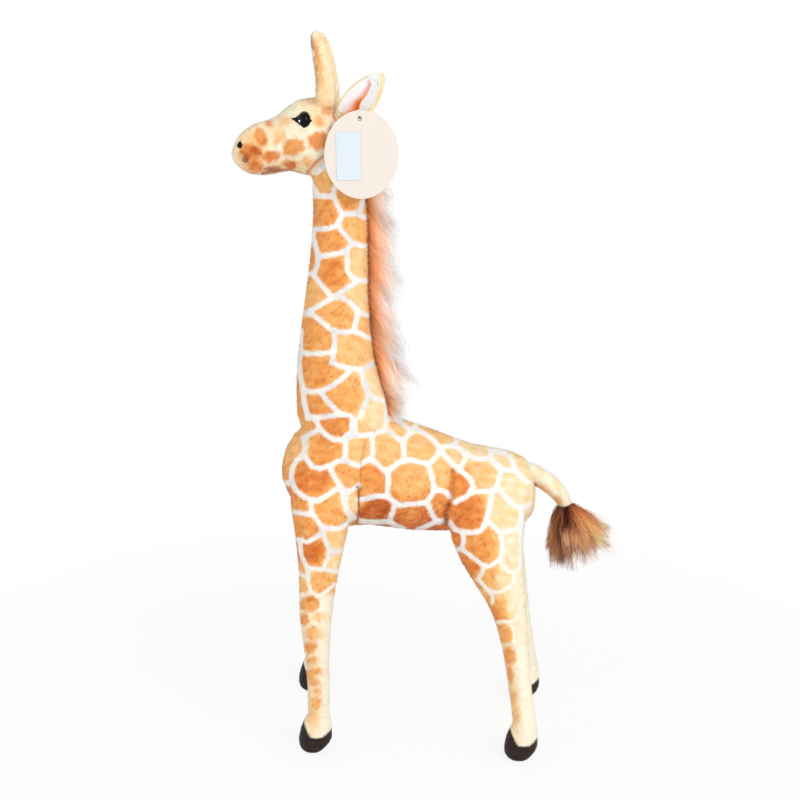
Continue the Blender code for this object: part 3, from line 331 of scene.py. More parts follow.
# How deep the patches are dyed: across and down in pixels, then 0 for pale and 1 for deep
TONES = (
    (324, 185, 0.6), (349, 201, 0.75), (325, 212, 0.8), (366, 210, 0.5), (355, 228, 0.6), (332, 242, 0.8),
    (362, 262, 0.35), (332, 274, 0.9), (314, 295, 0.6), (359, 294, 0.35), (338, 312, 0.7), (314, 336, 0.75),
    (353, 349, 0.5), (317, 372, 0.8), (377, 382, 0.2), (347, 393, 0.7), (317, 404, 0.8), (377, 412, 0.2),
    (334, 424, 0.9), (299, 443, 0.5), (323, 449, 0.8), (359, 449, 0.5), (404, 428, 0.45), (388, 449, 0.5),
    (430, 440, 0.5), (454, 455, 0.35), (473, 447, 0.2), (314, 478, 0.95), (347, 475, 0.7), (371, 479, 0.85),
    (410, 483, 0.6), (441, 470, 0.5), (459, 484, 0.95), (329, 511, 0.7), (353, 500, 0.25), (376, 510, 1.2),
    (413, 516, 0.98), (438, 505, 0.9), (309, 527, 0.8), (339, 537, 0.4), (313, 553, 1.08), (336, 560, 0.25),
    (321, 582, 0.65), (303, 575, 0.5), (504, 460, 0.25), (481, 473, 0.45), (515, 488, 0.15),
    (467, 512, 0.98), (503, 510, 0.22), (482, 547, 0.8), (452, 538, 0.95), (513, 549, 0.1),
    (472, 563, 0.95), (490, 577, 0.65), (503, 577, 0.2), (500, 606, 0.6), (512, 604, 0.1), (505, 634, 0.7),
    (520, 590, 0.0), (524, 545, 0.05), (526, 620, 0.0), (520, 634, 0.05), (496, 612, 0.9), (363, 492, 0.8),
    (364, 512, 1.2), (353, 506, 0.2), (344, 515, 0.7), (449, 478, 0.5), (456, 478, 0.98), (424, 527, 1.2),
    (385, 526, 1.2),
)

# Soft spots: across, down, half width, half height, tilt in degrees, blur in pixels, tone, strength
HEAD_SPOTS = (
    (314, 101, 14, 6, 0, 6, 0.30, 0.55), (252, 152, 15, 18, 20, 6, 0.42, 0.75),
    (250, 134, 9, 10, 0, 6, 0.30, 0.45), (322, 112, 14, 14, 0, 8, 0.35, 0.45),
    (274, 128, 16, 8, -22, 7, 0.30, 0.40), (295, 166, 34, 7, -2, 5, 0.40, 0.60),
    (252, 170, 9, 7, 0, 4, 0.62, 0.60), (260.5, 137, 6.6, 9.2, -18, 2, 0.72, 0.95),
    (264, 142, 2.8, 3.8, 0, 2, 1.02, 0.8), (279, 137, 7.5, 6, -30, 2.5, 0.42, 0.8),
    (277, 142, 3, 2, -40, 1.5, 0.65, 0.7), (293.5, 147, 11.3, 8.8, -8, 2, 0.72, 0.95),
    (288, 153, 6, 3.5, 10, 3, 0.85, 0.5), (318.5, 141, 10.4, 10, -25, 2, 0.80, 0.95),
    (250, 151.5, 10.5, 7.2, 25, 2, 0.86, 0.95), (257, 152, 4.8, 3.4, 30, 2, 1.25, 0.9),
    (247, 156.5, 4.5, 2.6, -30, 2, 1.25, 0.8), (253, 148, 3.6, 2.8, 0, 2, 1.15, 0.9),
    (258.5, 150.5, 4.4, 3.2, 40, 2, 1.1, 0.9), (242, 154, 3.2, 2.2, 40, 2, 1.2, 0.8),
    (255.5, 165.5, 8.2, 6.2, 30, 2, 0.86, 0.95), (256, 164, 3.4, 2.8, 0, 2, 1.05, 0.7),
    (271, 156.5, 8.4, 6.2, -12, 2, 0.84, 0.95), (269, 156, 4.5, 3.2, 0, 3, 1.05, 0.7),
    (290, 164.5, 6.8, 4.4, 8, 2, 0.95, 0.95), (293.5, 165, 2.2, 2.6, 0, 1.5, 1.15, 0.8),
    (287, 166, 2, 1.5, 0, 1.5, 1.1, 0.6), (307.5, 161, 4.5, 5, 30, 2.5, 0.55, 0.7),
    (319, 121.5, 5, 6, 25, 2.5, 0.60, 0.75), (320, 124, 3, 3, 0, 2, 0.75, 0.6),
    (317, 118, 2.5, 2, 0, 1.5, 0.7, 0.6), (327, 103, 8, 5, 20, 4, 0.45, 0.55),
    # The second spot on the next line, dark brown under the jaw, is painted shade
    (327, 110.5, 4.8, 5.0, 0, 2.5, 0.90, 0.90), (272, 169, 8.5, 3.4, -8, 2, 1.28, 0.85),
    (268, 123.5, 3, 3.5, 30, 2, 0.85, 0.8), (272, 126, 2.5, 2.8, 0, 2, 0.75, 0.6),
    (286, 121.5, 6, 3.6, -10, 2.5, 0.50, 0.7), (301, 130.5, 4.5, 2, 0, 2, 0.40, 0.6),
    (246, 160, 2.2, 2.6, 0, 1.5, 1.5, 0.6),
)
HORN_SPOTS = (
    (323, 66, 14, 40, -6, 8, 0.06, 0.9), (318.5, 61, 3, 20, -9, 2.5, 0.60, 0.85),
    (317, 52, 2, 7, -8, 2, 0.90, 0.7), (320, 78, 4, 10, -8, 3, 0.62, 0.4),
    (324, 90, 7, 12, -4, 5, 0.34, 0.5), (311.5, 40, 2, 6, -20, 1.5, 1.3, 0.6),
    (315, 72, 1.2, 12, -4, 1.2, 1.2, 0.45), (321, 39, 3, 4, 0, 3, 0.45, 0.5),
    (310, 36, 1.6, 2.6, -20, 1.2, 1.4, 0.6), (312.6, 47, 1.3, 3.4, -15, 1.2, 1.4, 0.6),
    (315, 58, 1.2, 2.6, 0, 1.2, 1.4, 0.5), (317, 68, 1.1, 2.6, 0, 1.2, 1.4, 0.5),
    (317.4, 81, 1.1, 2.4, 0, 1.2, 1.4, 0.45), (317, 90, 1.0, 2.2, 0, 1.2, 1.3, 0.4),
)
LEG_SPOTS = (
    (312, 690, 9, 46, 0, 6, 0.32, 0.75), (307, 630, 8, 30, 0, 6, 0.22, 0.50),
    (310, 603.5, 10, 8.6, 0, 1.5, 0.76, 0.95), (311.5, 600, 3.4, 2.4, 0, 2, 1.2, 0.8),
    (304, 618.5, 5.2, 6.2, -15, 1.8, 0.80, 0.95), (319, 617, 6, 5, -10, 2.2, 0.52, 0.85),
    (325, 617, 5, 5, 0, 3, 0.20, 0.6), (312.5, 633.5, 7, 7.4, -15, 2, 0.72, 0.95),
    (320, 633, 6, 7, 0, 3, 0.30, 0.7), (310.5, 647, 7.2, 5.4, 10, 2, 0.86, 0.95),
    (312, 660.5, 5.4, 4.6, 0, 2, 0.68, 0.9), (316.5, 671, 6.8, 3.8, 5, 2, 0.74, 0.9),
    (311, 677, 3.8, 6.8, -35, 2, 0.78, 0.85), (316, 683, 4.6, 2.2, -5, 1.8, 0.90, 0.8),
    (318, 691, 3.6, 3, 0, 2, 0.68, 0.8), (316.5, 702.5, 5.2, 6.6, -10, 2, 0.70, 0.9),
    (314, 717, 5, 9, 0, 3, 0.50, 0.8), (328, 600, 3.5, 6, 0, 3, 0.15, 0.5),
    (511, 690, 7, 54, -6, 5, 0.34, 0.75), (509.5, 655, 6.6, 9.0, -8, 2, 0.80, 0.95),
    (510, 674, 3.8, 8.2, -10, 2, 0.82, 0.9), (514, 696, 4.6, 7, 0, 2.5, 0.60, 0.8),
    (516, 715, 4.4, 8, 0, 3, 0.50, 0.75), (521.5, 627, 5, 8, 0, 3, 0.12, 0.5),
)

TAIL_SPOTS = (
    (534.5, 485.0, 3.0, 2.4, 30, 1.5, 1.25, 0.80), (541.0, 487.0, 5.0, 2.2, 35, 2.0, 0.75, 0.60),
    (557.5, 500.5, 5.0, 4.0, 45, 2.5, 0.75, 0.80), (548.0, 491.0, 4.0, 2.0, 40, 2.0, 0.50, 0.60),
)

# Shade drawn in seams and folds: half width, blur, tone, strength, depth in metres, the line's pixels
FOLDS = (
    (0.3, 1.7, 1.35, 0.34, 0.0009, ((365, 444), (361.5, 460), (360.5, 478), (359, 500), (359, 521))),
    (0.3, 2.0, 1.2, 0.30, 0.0008, ((366, 424), (370, 430), (375, 431))),
    (0.5, 4.5, 1.35, 0.50, 0.0016, ((453, 471), (452, 482), (452, 497), (449, 506), (445, 515), (445, 524))),
    (1.0, 2.6, 1.45, 0.75, 0.0, ((448, 504), (446, 513), (446.5, 522))),
    (0.5, 1.1, 1.5, 0.85, 0.0, ((357.5, 486), (358.3, 498), (359, 507), (358.3, 515), (357, 522))),
    (0.5, 1.8, 1.4, 0.70, 0.0,
     ((262, 173.5), (270, 172), (280, 170), (290, 170.5), (298, 173), (306, 176.5))),
    (0.6, 1.8, 1.2, 0.65, 0.0009, ((307, 173), (311, 168), (316, 162), (323, 156.5))),
    (0.6, 1.5, 1.3, 0.70, 0.0, ((332.5, 112), (333.5, 116), (335, 120))),
    (1.0, 1.5, 1.3, 0.60, 0.0, ((331, 126), (330, 131))),
)


# Colours

def linear(value):
    """Turns an 8-bit display value into a linear one."""
    share = value / 255.0
    return share / 12.92 if share <= 0.04045 else ((share + 0.055) / 1.055) ** 2.4


def srgb(red, green, blue):
    """Gives a linear colour from 8-bit display values."""
    return (linear(red), linear(green), linear(blue), 1.0)


DYES = (
    (0.0, srgb(255, 244, 216)), (0.25, srgb(255, 224, 170)), (0.5, srgb(255, 202, 132)),
    (0.75, srgb(250, 174, 94)), (1.0, srgb(234, 134, 58)), (1.25, srgb(200, 94, 30)),
    (1.5, srgb(132, 60, 16)),
)
BODY_WHITE = srgb(253, 250, 244)
LEG_CREAM = srgb(255, 247, 224)
# Painted shade on the white of the body's front side
SIDE_SHADE_GREY = srgb(222, 224, 228)
HEAD_CREAM = srgb(255, 246, 218)
# The streaks' colours: painted shade, dark, and painted sheen, pale
DARK_STREAK = srgb(164, 80, 36)
PALE_STREAK = srgb(255, 210, 150)
HOOF_CLOTH = srgb(42, 30, 28)
HOOF_DARK = srgb(24, 14, 11)
# Painted highlight of the hooves' dark pile
HOOF_HIGHLIGHT = srgb(98, 84, 76)
TAIL_CREAM = srgb(255, 248, 224)
TAIL_PATCH = srgb(255, 222, 158)
# Painted shade on the tail's underside
TAIL_UNDERSIDE_SHADE = srgb(240, 178, 108)
EAR_CREAM = srgb(255, 244, 200)
EAR_PATCH = srgb(252, 222, 160)
LINING_WHITE = srgb(255, 253, 253)
LINING_ROSE = srgb(251, 243, 246)
FOLD_SALMON = srgb(244, 170, 146)
FOLD_APRICOT = srgb(255, 168, 108)
FOLD_ORANGE = srgb(234, 104, 20)
STUFFING_WHITE = (0.9, 0.9, 0.88, 1.0)
EYE_BLACK = srgb(5, 4, 5)
FELT_BLACK = srgb(12, 9, 9)
THREAD_GREY = srgb(120, 96, 84)
CARD_CREAM = srgb(231, 221, 211)
STICKER_BLUE = srgb(215, 227, 233)
PIN_DARK = srgb(70, 66, 64)
PURE_WHITE = (1.0, 1.0, 1.0, 1.0)

# Colours along a hair, by the share of the way from its root to its end; the dark roots are partly painted
# shade
MANE_UNDERLAYER_STOPS = (
    (0.0, srgb(104, 50, 22)), (0.18, srgb(208, 120, 62)), (0.6, srgb(244, 166, 106)),
    (1.0, srgb(255, 210, 168)),
)
MANE_LOCK_STOPS = (
    (0.0, srgb(112, 56, 26)), (0.20, srgb(222, 134, 74)), (0.48, srgb(250, 184, 132)),
    (0.68, srgb(252, 232, 222)), (1.0, srgb(240, 240, 240)),
)
TUFT_STOPS = (
    (0.0, srgb(124, 60, 28)), (0.25, srgb(226, 134, 74)), (0.6, srgb(255, 178, 116)),
    (0.88, srgb(255, 190, 134)), (1.0, srgb(214, 164, 132)),
)


# Placing by the photograph's camera

def camera_place():
    """Gives the camera's place and turn."""
    rise = CAMERA_HEIGHT - CAMERA_TARGET.z
    away = Vector((math.sin(CAMERA_YAW), -math.cos(CAMERA_YAW), 0.0)) * CAMERA_DISTANCE
    place = CAMERA_TARGET + away + Vector((0.0, 0.0, rise))
    turn = (CAMERA_TARGET - place).to_track_quat("-Z", "Y")
    return place, turn @ Quaternion((0.0, 0.0, 1.0), CAMERA_ROLL)


def photo_ray(across, down):
    """Gives the ray through one of the photograph's pixels."""
    place, turn = camera_place()
    half = PHOTO_SIZE / 2
    ray = Vector(((across - half) / FOCAL_PIXELS, (half - down) / FOCAL_PIXELS, -1.0))
    return place, (turn @ ray).normalized()


def cast(tree, across, down):
    """Finds where a pixel's ray meets a surface, or the nearest place to where it passes."""
    place, ray = photo_ray(across, down)
    hit, normal, _, _ = tree.ray_cast(place, ray)
    if hit is None:
        passing = place + ray * (-place.y / ray.y)
        hit, normal, _, _ = tree.find_nearest(passing)
    return hit, normal


def seen_pixels(points):
    """Gives the pixels at which points on the left side show, and the same for their mirror images."""
    place, turn = camera_place()
    left = points * (1.0, -1.0, 1.0)
    left = np.where(points[:, 1:2] < 0.0, points, left)
    inner = (left - np.array(place)) @ np.array(turn.to_matrix())
    half = PHOTO_SIZE / 2
    return np.stack((half - inner[:, 0] / inner[:, 2] * FOCAL_PIXELS,
                     half + inner[:, 1] / inner[:, 2] * FOCAL_PIXELS), axis=1)


def pixels_from_line(pixels, line):
    """Gives each pixel's distance from a line of pixels."""
    best = np.full(len(pixels), np.inf)
    for first, second in zip(line, line[1:]):
        start = np.array(first, dtype=float)
        way = np.array(second, dtype=float) - start
        share = np.clip((pixels - start) @ way / (way @ way), 0.0, 1.0)
        best = np.minimum(best, np.linalg.norm(pixels - start - share[:, None] * way, axis=1))
    return best


# Noise and sampling on arrays

def waves(points, length, salt, count=5):
    """Gives three smooth random values from -1 to 1 at each point, varying over a length."""
    rng = np.random.default_rng(SEED + salt)
    total = np.zeros((len(points), 3))
    for _ in range(count):
        turn = rng.normal(size=(3, 3))
        turn /= np.linalg.norm(turn, axis=1, keepdims=True)
        phase = rng.uniform(0.0, math.tau, 3)
        total += np.sin(points @ turn.T * (math.tau / length) * rng.uniform(0.7, 1.4) + phase)
    return total / math.sqrt(count)


def unit(vectors):
    """Scales vectors to length 1."""
    return vectors / np.maximum(np.linalg.norm(vectors, axis=-1, keepdims=True), 1e-12)


def step(low, high, values):
    """Rises smoothly from 0 at low to 1 at high."""
    share = np.clip((values - low) / (high - low), 0.0, 1.0)
    return share * share * (3.0 - 2.0 * share)


# Meshes

def read_values(items, name, width, kind=float):
    """Reads one property of a mesh's items, a row to an item."""
    values = np.empty(len(items) * width, dtype=kind)
    items.foreach_get(name, values)
    return values.reshape(-1, width)


def vertex_places(mesh):
    """Reads the vertices' places."""
    return read_values(mesh.vertices, "co", 3)


def vertex_normals(mesh):
    """Reads the vertices' normals."""
    return read_values(mesh.vertices, "normal", 3)


def move_vertices(mesh, places):
    """Puts the vertices at new places."""
    mesh.vertices.foreach_set("co", places.ravel())
    mesh.update()


def placed(name, data):
    """Puts a mesh, curve, lamp or camera into the scene as an object."""
    made = bpy.data.objects.new(name, data)
    bpy.context.scene.collection.objects.link(made)
    return made


def final_mesh(holder):
    """Gives the mesh that an object's curve or modifiers come to, and removes the object."""
    graph = bpy.context.evaluated_depsgraph_get()
    made = bpy.data.meshes.new_from_object(holder.evaluated_get(graph))
    bpy.data.objects.remove(holder, do_unlink=True)
    return made


def mesh_of(sheet, name):
    """Gives the mesh of a bmesh, and frees it."""
    made = bpy.data.meshes.new(name)
    sheet.to_mesh(made)
    sheet.free()
    return made


def surface_tree(mesh):
    """Makes a tree of a mesh's faces, to cast rays at."""
    return BVHTree.FromPolygons([v.co for v in mesh.vertices], [p.vertices for p in mesh.polygons])


def scatter(mesh, per_area, salt, weight=None):
    """Gives random places on a mesh, so many to a square metre, their normals and their faces' numbers."""
    rng = np.random.default_rng(SEED + salt)
    mesh.calc_loop_triangles()
    triangles = read_values(mesh.loop_triangles, "vertices", 3, np.int32)
    corners = vertex_places(mesh)[triangles]
    normals = vertex_normals(mesh)[triangles]
    area = np.linalg.norm(np.cross(corners[:, 1] - corners[:, 0], corners[:, 2] - corners[:, 0]), axis=1) / 2
    if weight is not None:
        area = area * weight(corners.mean(axis=1), normals.mean(axis=1))
    count = int(area.sum() * per_area)
    chosen = rng.choice(len(area), size=count, p=area / area.sum())
    first, second = rng.random((2, count, 1))
    over = first + second > 1.0
    first = np.where(over, 1.0 - first, first)
    second = np.where(over, 1.0 - second, second)
    shares = (1.0 - first - second, first, second)
    places = sum(share * corners[chosen, n] for n, share in enumerate(shares))
    facing = sum(share * normals[chosen, n] for n, share in enumerate(shares))
    faces = read_values(mesh.loop_triangles, "polygon_index", 1, np.int32)[:, 0]
    return places, unit(facing), faces[chosen]


# The skin

def welded(mesh, growth):
    """Copies a mesh with its corners joined, moved out along its normals."""
    sheet = bmesh.new()
    sheet.from_mesh(mesh)
    bmesh.ops.remove_doubles(sheet, verts=sheet.verts, dist=1e-6)
    sheet.normal_update()
    for vertex in sheet.verts:
        vertex.co += vertex.normal * growth
    return mesh_of(sheet, "welded")


def union(meshes, voxel, smoothing):
    """Joins meshes into one closed, evenly divided surface."""
    sheet = bmesh.new()
    for mesh in meshes:
        sheet.from_mesh(mesh)
    holder = placed("joined", mesh_of(sheet, "joined"))
    remesh = holder.modifiers.new("Remesh", "REMESH")
    remesh.mode = "VOXEL"
    remesh.voxel_size = voxel
    relax = holder.modifiers.new("Relax", "SMOOTH")
    relax.factor = 0.5
    relax.iterations = smoothing
    made = final_mesh(holder)
    made.shade_smooth()
    return made


def foot_shares(points):
    """Gives each point's place along the nearest foot, from -1 at the toe to 1 at the heel."""
    shares = np.zeros(len(points))
    for name in HOOVES:
        low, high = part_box(name + "_cover")
        middle = (low[0] + high[0]) / 2
        half = (high[0] - low[0]) / 2
        mine = (np.abs(points[:, 0] - middle) < 2.0 * half) & (points[:, 1] * (low[1] + high[1]) > 0.0)
        shares = np.where(mine, (points[:, 0] - middle) / half, shares)
    return np.clip(shares, -1.2, 1.2)


def round_soles(places):
    """Lifts heel and toe off the floor."""
    share = foot_shares(places)
    lift = HEEL_LIFT * np.clip(share - 0.05, 0.0, 1.0) ** 1.5 + TOE_LIFT * np.clip(-share - 0.55, 0.0, 1.0)
    depth = np.clip(1.0 - places[:, 2] / SOLE_DEPTH, 0.0, 1.0)
    places[:, 2] += lift * depth
    return places


def pressed(places):
    """Presses the chest back a little, as the stuffed cover settles there."""
    heights, depths = zip(*CHEST_PRESS)
    back = np.interp(places[:, 2], heights, depths) * step(CHEST_PRESS_START, CHEST_PRESS_FULL, places[:, 0])
    return places + back[:, None] * np.array((1.0, 0.0, 0.0))


def press_fillings():
    """Shows the fillings of torso and neck pressed back with their cover."""
    look, _, shader = new_material("stuffing_fibre", 0.95)
    shader.inputs["Base Color"].default_value = STUFFING_WHITE
    for name in ("torso", "neck"):
        mesh = NODES[name + "_stuffing"].data.copy()
        mesh.name = name + "_filling"
        move_vertices(mesh, pressed(vertex_places(mesh)))
        piece = show(name + "_filling", mesh, look, "figure")
        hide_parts(name + "_stuffing")


def make_skin():
    """Joins the covers, fillings and hooves into one closed surface."""
    meshes = []
    for names, ending in ((STUFFED, "_skin"), (HOOVES, "_cover")):
        meshes += [NODES[name + ending].data for name in names]
        meshes += [welded(NODES[name + "_stuffing"].data, STUFFING_GROWTH) for name in names
                   if name + "_stuffing" in NODES]
    skin = union(meshes, SKIN_VOXEL, SKIN_SMOOTHING)
    places = vertex_places(skin)
    normals = vertex_normals(skin)
    pixels = seen_pixels(places)
    facing = step(0.1, 0.3, facing_camera(places, normals))
    for half, blur, _, _, depth, line in FOLDS:
        away = pixels_from_line(pixels, line)
        places -= normals * (depth * facing * step(half + blur, 0.0, away))[:, None]
    places = pressed(places)
    move_vertices(skin, round_soles(places))
    return skin


def nearest_nodes(points):
    """Tells for each point which node's surface is nearest, by its place in STUFFED and HOOVES."""
    names = [name + "_skin" for name in STUFFED] + [name + "_cover" for name in HOOVES]
    total = sum(len(NODES[name].data.vertices) for name in names)
    tree = KDTree(total)
    owners = []
    for number, name in enumerate(names):
        for vertex in NODES[name].data.vertices:
            tree.insert(vertex.co, len(owners))
            owners.append(number)
    tree.balance()
    return np.array([owners[tree.find(point)[1]] for point in points])


# The coat's pattern

def facing_camera(points, normals):
    """Tells how squarely points on the left side, or the mirror images of the others, face the camera."""
    flip = np.where(points[:, 1:2] < 0.0, 1.0, np.array((1.0, -1.0, 1.0)))
    return (normals * flip * unit(np.array(camera_place()[0]) - points * flip)).sum(axis=1)


def spacing(points):
    """Gives how far apart the hidden patches' middles are, by the place on the body."""
    height = points[:, 2]
    lower = LEG_SPACING + BODY_SPACING_GAIN * step(*BODY_HEIGHTS, height)
    return lower - NECK_SPACING_LOSS * step(*NECK_HEIGHTS, height)


def hidden_middles(skin):
    """Gives the middles of the patches that the photograph doesn't show."""
    candidates, _, _ = scatter(skin, MIDDLES_PER_AREA, 1)
    middles = candidates[:1]
    for point, room in zip(candidates[1:], spacing(candidates)[1:]):
        if np.linalg.norm(middles - point, axis=1).min() > room:
            middles = np.vstack((middles, point))
    return middles


def hidden_edges(points, middles):
    """Gives each point's distance inside its patch's edge, the patches being cells round their middles."""
    warped = points + waves(points, CELL_WARP_WAVE, 3) * CELL_WARP
    edges = np.empty(len(points))
    for start in range(0, len(points), POINTS_AT_ONCE):
        part = warped[start:start + POINTS_AT_ONCE]
        away = ((part[:, None, :] - middles[None, :, :]) ** 2).sum(axis=2)
        near = np.argpartition(away, NEIGHBOURS, axis=1)[:, :NEIGHBOURS]
        power = np.take_along_axis(away, near, axis=1)
        order = np.argsort(power, axis=1)
        near = np.take_along_axis(near, order, axis=1)
        power = np.take_along_axis(power, order, axis=1)
        apart = np.linalg.norm(middles[near[:, 1:]] - middles[near[:, 0]][:, None, :], axis=2)
        to_edge = (power[:, 1:] - power[:, :1]) / (2.0 * np.maximum(apart, 1e-6))
        rounded = -CORNER_ROUNDING * np.log(np.exp(-to_edge / CORNER_ROUNDING).sum(axis=1))
        edges[start:start + POINTS_AT_ONCE] = rounded
    return edges - HIDDEN_LINE_HALF * (0.6 + 0.4 * step(0.15, 0.30, points[:, 2]))


def seen_edges(pixels):
    """Gives each point's distance inside its patch's edge, by the lines of the photograph."""
    total = np.full(len(pixels), math.exp(-LINE_REACH / LINE_ROUNDING))
    for line in COAT_LINES:
        low = np.min(line, axis=0) - LINE_REACH
        high = np.max(line, axis=0) + LINE_REACH
        near = np.all((pixels > low) & (pixels < high), axis=1)
        away = pixels_from_line(pixels[near], line)
        total[near] += np.exp(-away / LINE_ROUNDING)
    half = LINE_HALF - (LINE_HALF - LEG_LINE_HALF) * step(500.0, 600.0, pixels[:, 1])
    return (-LINE_ROUNDING * np.log(total) - half) * PIXEL_SPAN


def tones_at(pixels):
    """Gives how deep the dye is: a smooth mix of the nearest tones."""
    total = np.zeros(len(pixels))
    weights = np.zeros(len(pixels))
    for across, down, tone in TONES:
        weight = 1.0 / (((pixels - (across, down)) ** 2).sum(axis=1) + TONE_SPREAD) ** 2.5
        total += weight * tone
        weights += weight
    return total / weights


def colours_at(shares, stops):
    """Gives the colours at some shares, between stops that each hold a share and its colour."""
    places = [place for place, _ in stops]
    bands = zip(*(colour[:3] for _, colour in stops))
    return np.stack([np.interp(shares, places, band) for band in bands], axis=1)


def dye_of(tones):
    """Gives the print's colour for tones from 0, palest, over 1, deep orange, to 1.5, brown."""
    return colours_at(tones, DYES)


def painted(colour, pixels, spots, deeper=0.0):
    """Paints soft oval spots over a colour, in the order given, a little deeper than their tones say."""
    for across, down, wide, tall, tilt, blur, tone, strength in spots:
        turn = math.radians(tilt)
        away = pixels - (across, down)
        right = away[:, 0] * math.cos(turn) + away[:, 1] * math.sin(turn)
        below = away[:, 1] * math.cos(turn) - away[:, 0] * math.sin(turn)
        inside = (1.0 - np.hypot(right / wide, below / tall)) * min(wide, tall)
        colour = mixed(strength * step(-blur, blur, inside), colour, dye_of([tone + deeper])[0])
    return colour


def hoof_at(points):
    """Gives 1 where the dark hoof cloth is and 0 above its dipping edge."""
    share = foot_shares(points)
    edge = HOOF_EDGE_FRONT - HOOF_EDGE_DIP * step(-0.9, -0.1, share)
    edge = edge + HOOF_EDGE_BACK_RISE * step(0.3, 1.0, share)
    return step(HOOF_EDGE_BLUR, -HOOF_EDGE_BLUR, points[:, 2] - edge)


# Materials

def new_material(name, roughness, sheen=0.0):
    """Makes a Principled material and gives it with its node tree and shader."""
    made = bpy.data.materials.new(name)
    made.use_nodes = True
    shader = made.node_tree.nodes["Principled BSDF"]
    shader.inputs["Roughness"].default_value = roughness
    shader.inputs["Sheen Weight"].default_value = sheen
    shader.inputs["Specular IOR Level"].default_value = 0.25
    return made, made.node_tree, shader


def blend(tree, share, first, second):
    """Mixes two colours by a socket's share."""
    node = tree.nodes.new("ShaderNodeMix")
    node.data_type = "RGBA"
    tree.links.new(share, node.inputs[0])
    node.inputs[6].default_value = first
    node.inputs[7].default_value = second
    return node.outputs[2]


def combined(tree, operation, first, second):
    """Combines two sockets."""
    node = tree.nodes.new("ShaderNodeMath")
    node.operation = operation
    tree.links.new(first, node.inputs[0])
    tree.links.new(second, node.inputs[1])
    return node.outputs[0]


def mixed_shaders(tree, share, first, second, output):
    """Mixes two shaders by a socket's share and sends them to the output node."""
    node = tree.nodes.new("ShaderNodeMixShader")
    for number, source in enumerate((share, first.outputs[0], second.outputs[0])):
        tree.links.new(source, node.inputs[number])
    tree.links.new(node.outputs[0], tree.nodes[output].inputs["Surface"])


def ranged(tree, value, low, high, bottom=0.0, top=1.0):
    """Maps a socket's value from low..high to bottom..top, smoothly."""
    node = tree.nodes.new("ShaderNodeMapRange")
    node.interpolation_type = "SMOOTHSTEP"
    tree.links.new(value, node.inputs["Value"])
    for name, number in (("From Min", low), ("From Max", high), ("To Min", bottom), ("To Max", top)):
        node.inputs[name].default_value = number
    return node.outputs["Result"]


def noise(tree, scale):
    """Gives a noise over the object's own space, at a scale per metre."""
    place = tree.nodes.new("ShaderNodeTexCoord")
    node = tree.nodes.new("ShaderNodeTexNoise")
    node.inputs["Scale"].default_value = scale
    tree.links.new(place.outputs["Object"], node.inputs["Vector"])
    return node.outputs["Fac"]


def vertex_colour_material(name, roughness, sheen):
    """Makes a material that shows each vertex's own colour: print, and painted shade and highlights where
    given.
    """
    made, tree, shader = new_material(name, roughness, sheen)
    node = tree.nodes.new("ShaderNodeAttribute")
    node.attribute_name = "dye"
    tree.links.new(node.outputs["Color"], shader.inputs["Base Color"])
    return made


def vector_step(tree, operation, first, second=(0.0, 0.0, 0.0)):
    """Combines a socket and a vector, and gives the vector or the value that comes of it."""
    node = tree.nodes.new("ShaderNodeVectorMath")
    node.operation = operation
    tree.links.new(first, node.inputs[0])
    node.inputs[1].default_value = second
    return node.outputs["Value" if operation == "LENGTH" else "Vector"]


def white_share(tree):
    """Gives 1 for the rays that see the white surroundings: the camera's, mirrored and refracted ones."""
    path = tree.nodes.new("ShaderNodeLightPath")
    either = combined(tree, "MAXIMUM", path.outputs["Is Camera Ray"], path.outputs["Is Glossy Ray"])
    return combined(tree, "MAXIMUM", either, path.outputs["Is Transmission Ray"])


def plain_material(name, colour, roughness, grain, grain_scale=300.0):
    """Makes a material of one colour, a little uneven."""
    made, tree, shader = new_material(name, roughness)
    dark = tuple(value * (1.0 - grain) for value in colour[:3]) + (1.0,)
    tree.links.new(blend(tree, noise(tree, grain_scale), dark, colour), shader.inputs["Base Color"])
    return made


# Pieces

def joint_place(name):
    """Gives the place of a joint's axis."""
    return next(Vector(joint["pos_m"]) for joint in frame["joints"] if joint["name"] == name)


BENDS = {"tail": ("figure", "tail", joint_place("tail_wag") - Vector((TAIL_BEND / 2, 0.0, 0.0)),
                  joint_place("tail_wag") + Vector((TAIL_BEND, 0.0, 0.0)))}


def show(name, mesh, look, body):
    """Puts a mesh into the scene with a material, riding on a body, or left unattached where the body bends.
    """
    piece = placed(name, mesh)
    mesh.materials.clear()
    mesh.materials.append(look)
    if body in BENDS:
        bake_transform(piece)
    else:
        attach(piece, body)
    return piece


def write_vertex_colours(mesh, colours):
    """Stores a linear colour for each vertex."""
    stored = mesh.attributes.new("dye", "FLOAT_COLOR", "POINT")
    full = np.ones((len(colours), 4), dtype=np.float32)
    full[:, :3] = colours[:, :3]
    stored.data.foreach_set("color", full.ravel())


def mixed(share, first, second):
    """Mixes two colours or rows of colours by shares."""
    share = np.asarray(share)[..., None]
    return np.asarray(first)[..., :3] * (1.0 - share) + np.asarray(second)[..., :3] * share


def new_mesh(name, places, corners, sides):
    """Makes a mesh from places and from corner numbers, all faces with the same count of sides."""
    mesh = bpy.data.meshes.new(name)
    mesh.vertices.add(len(places))
    mesh.vertices.foreach_set("co", np.asarray(places, dtype=np.float32).ravel())
    mesh.loops.add(corners.size)
    mesh.loops.foreach_set("vertex_index", corners.ravel().astype(np.int32))
    mesh.polygons.add(corners.size // sides)
    mesh.polygons.foreach_set("loop_start", np.arange(0, corners.size, sides, dtype=np.int32))
    mesh.update(calc_edges=True)
    mesh.shade_smooth()
    return mesh


def write_cells(mesh, count, corners):
    """Gives each strand or hair its own cell of the OFBake map."""
    side = math.ceil(math.sqrt(count))
    cell = np.arange(count)
    low = np.stack((cell % side, cell // side), axis=1)
    spread = (low[:, None, :] + np.asarray(corners)[None, :, :]) / side
    chart = mesh.uv_layers.new(name="OFBake")
    chart.data.foreach_set("uv", spread.astype(np.float32).ravel())


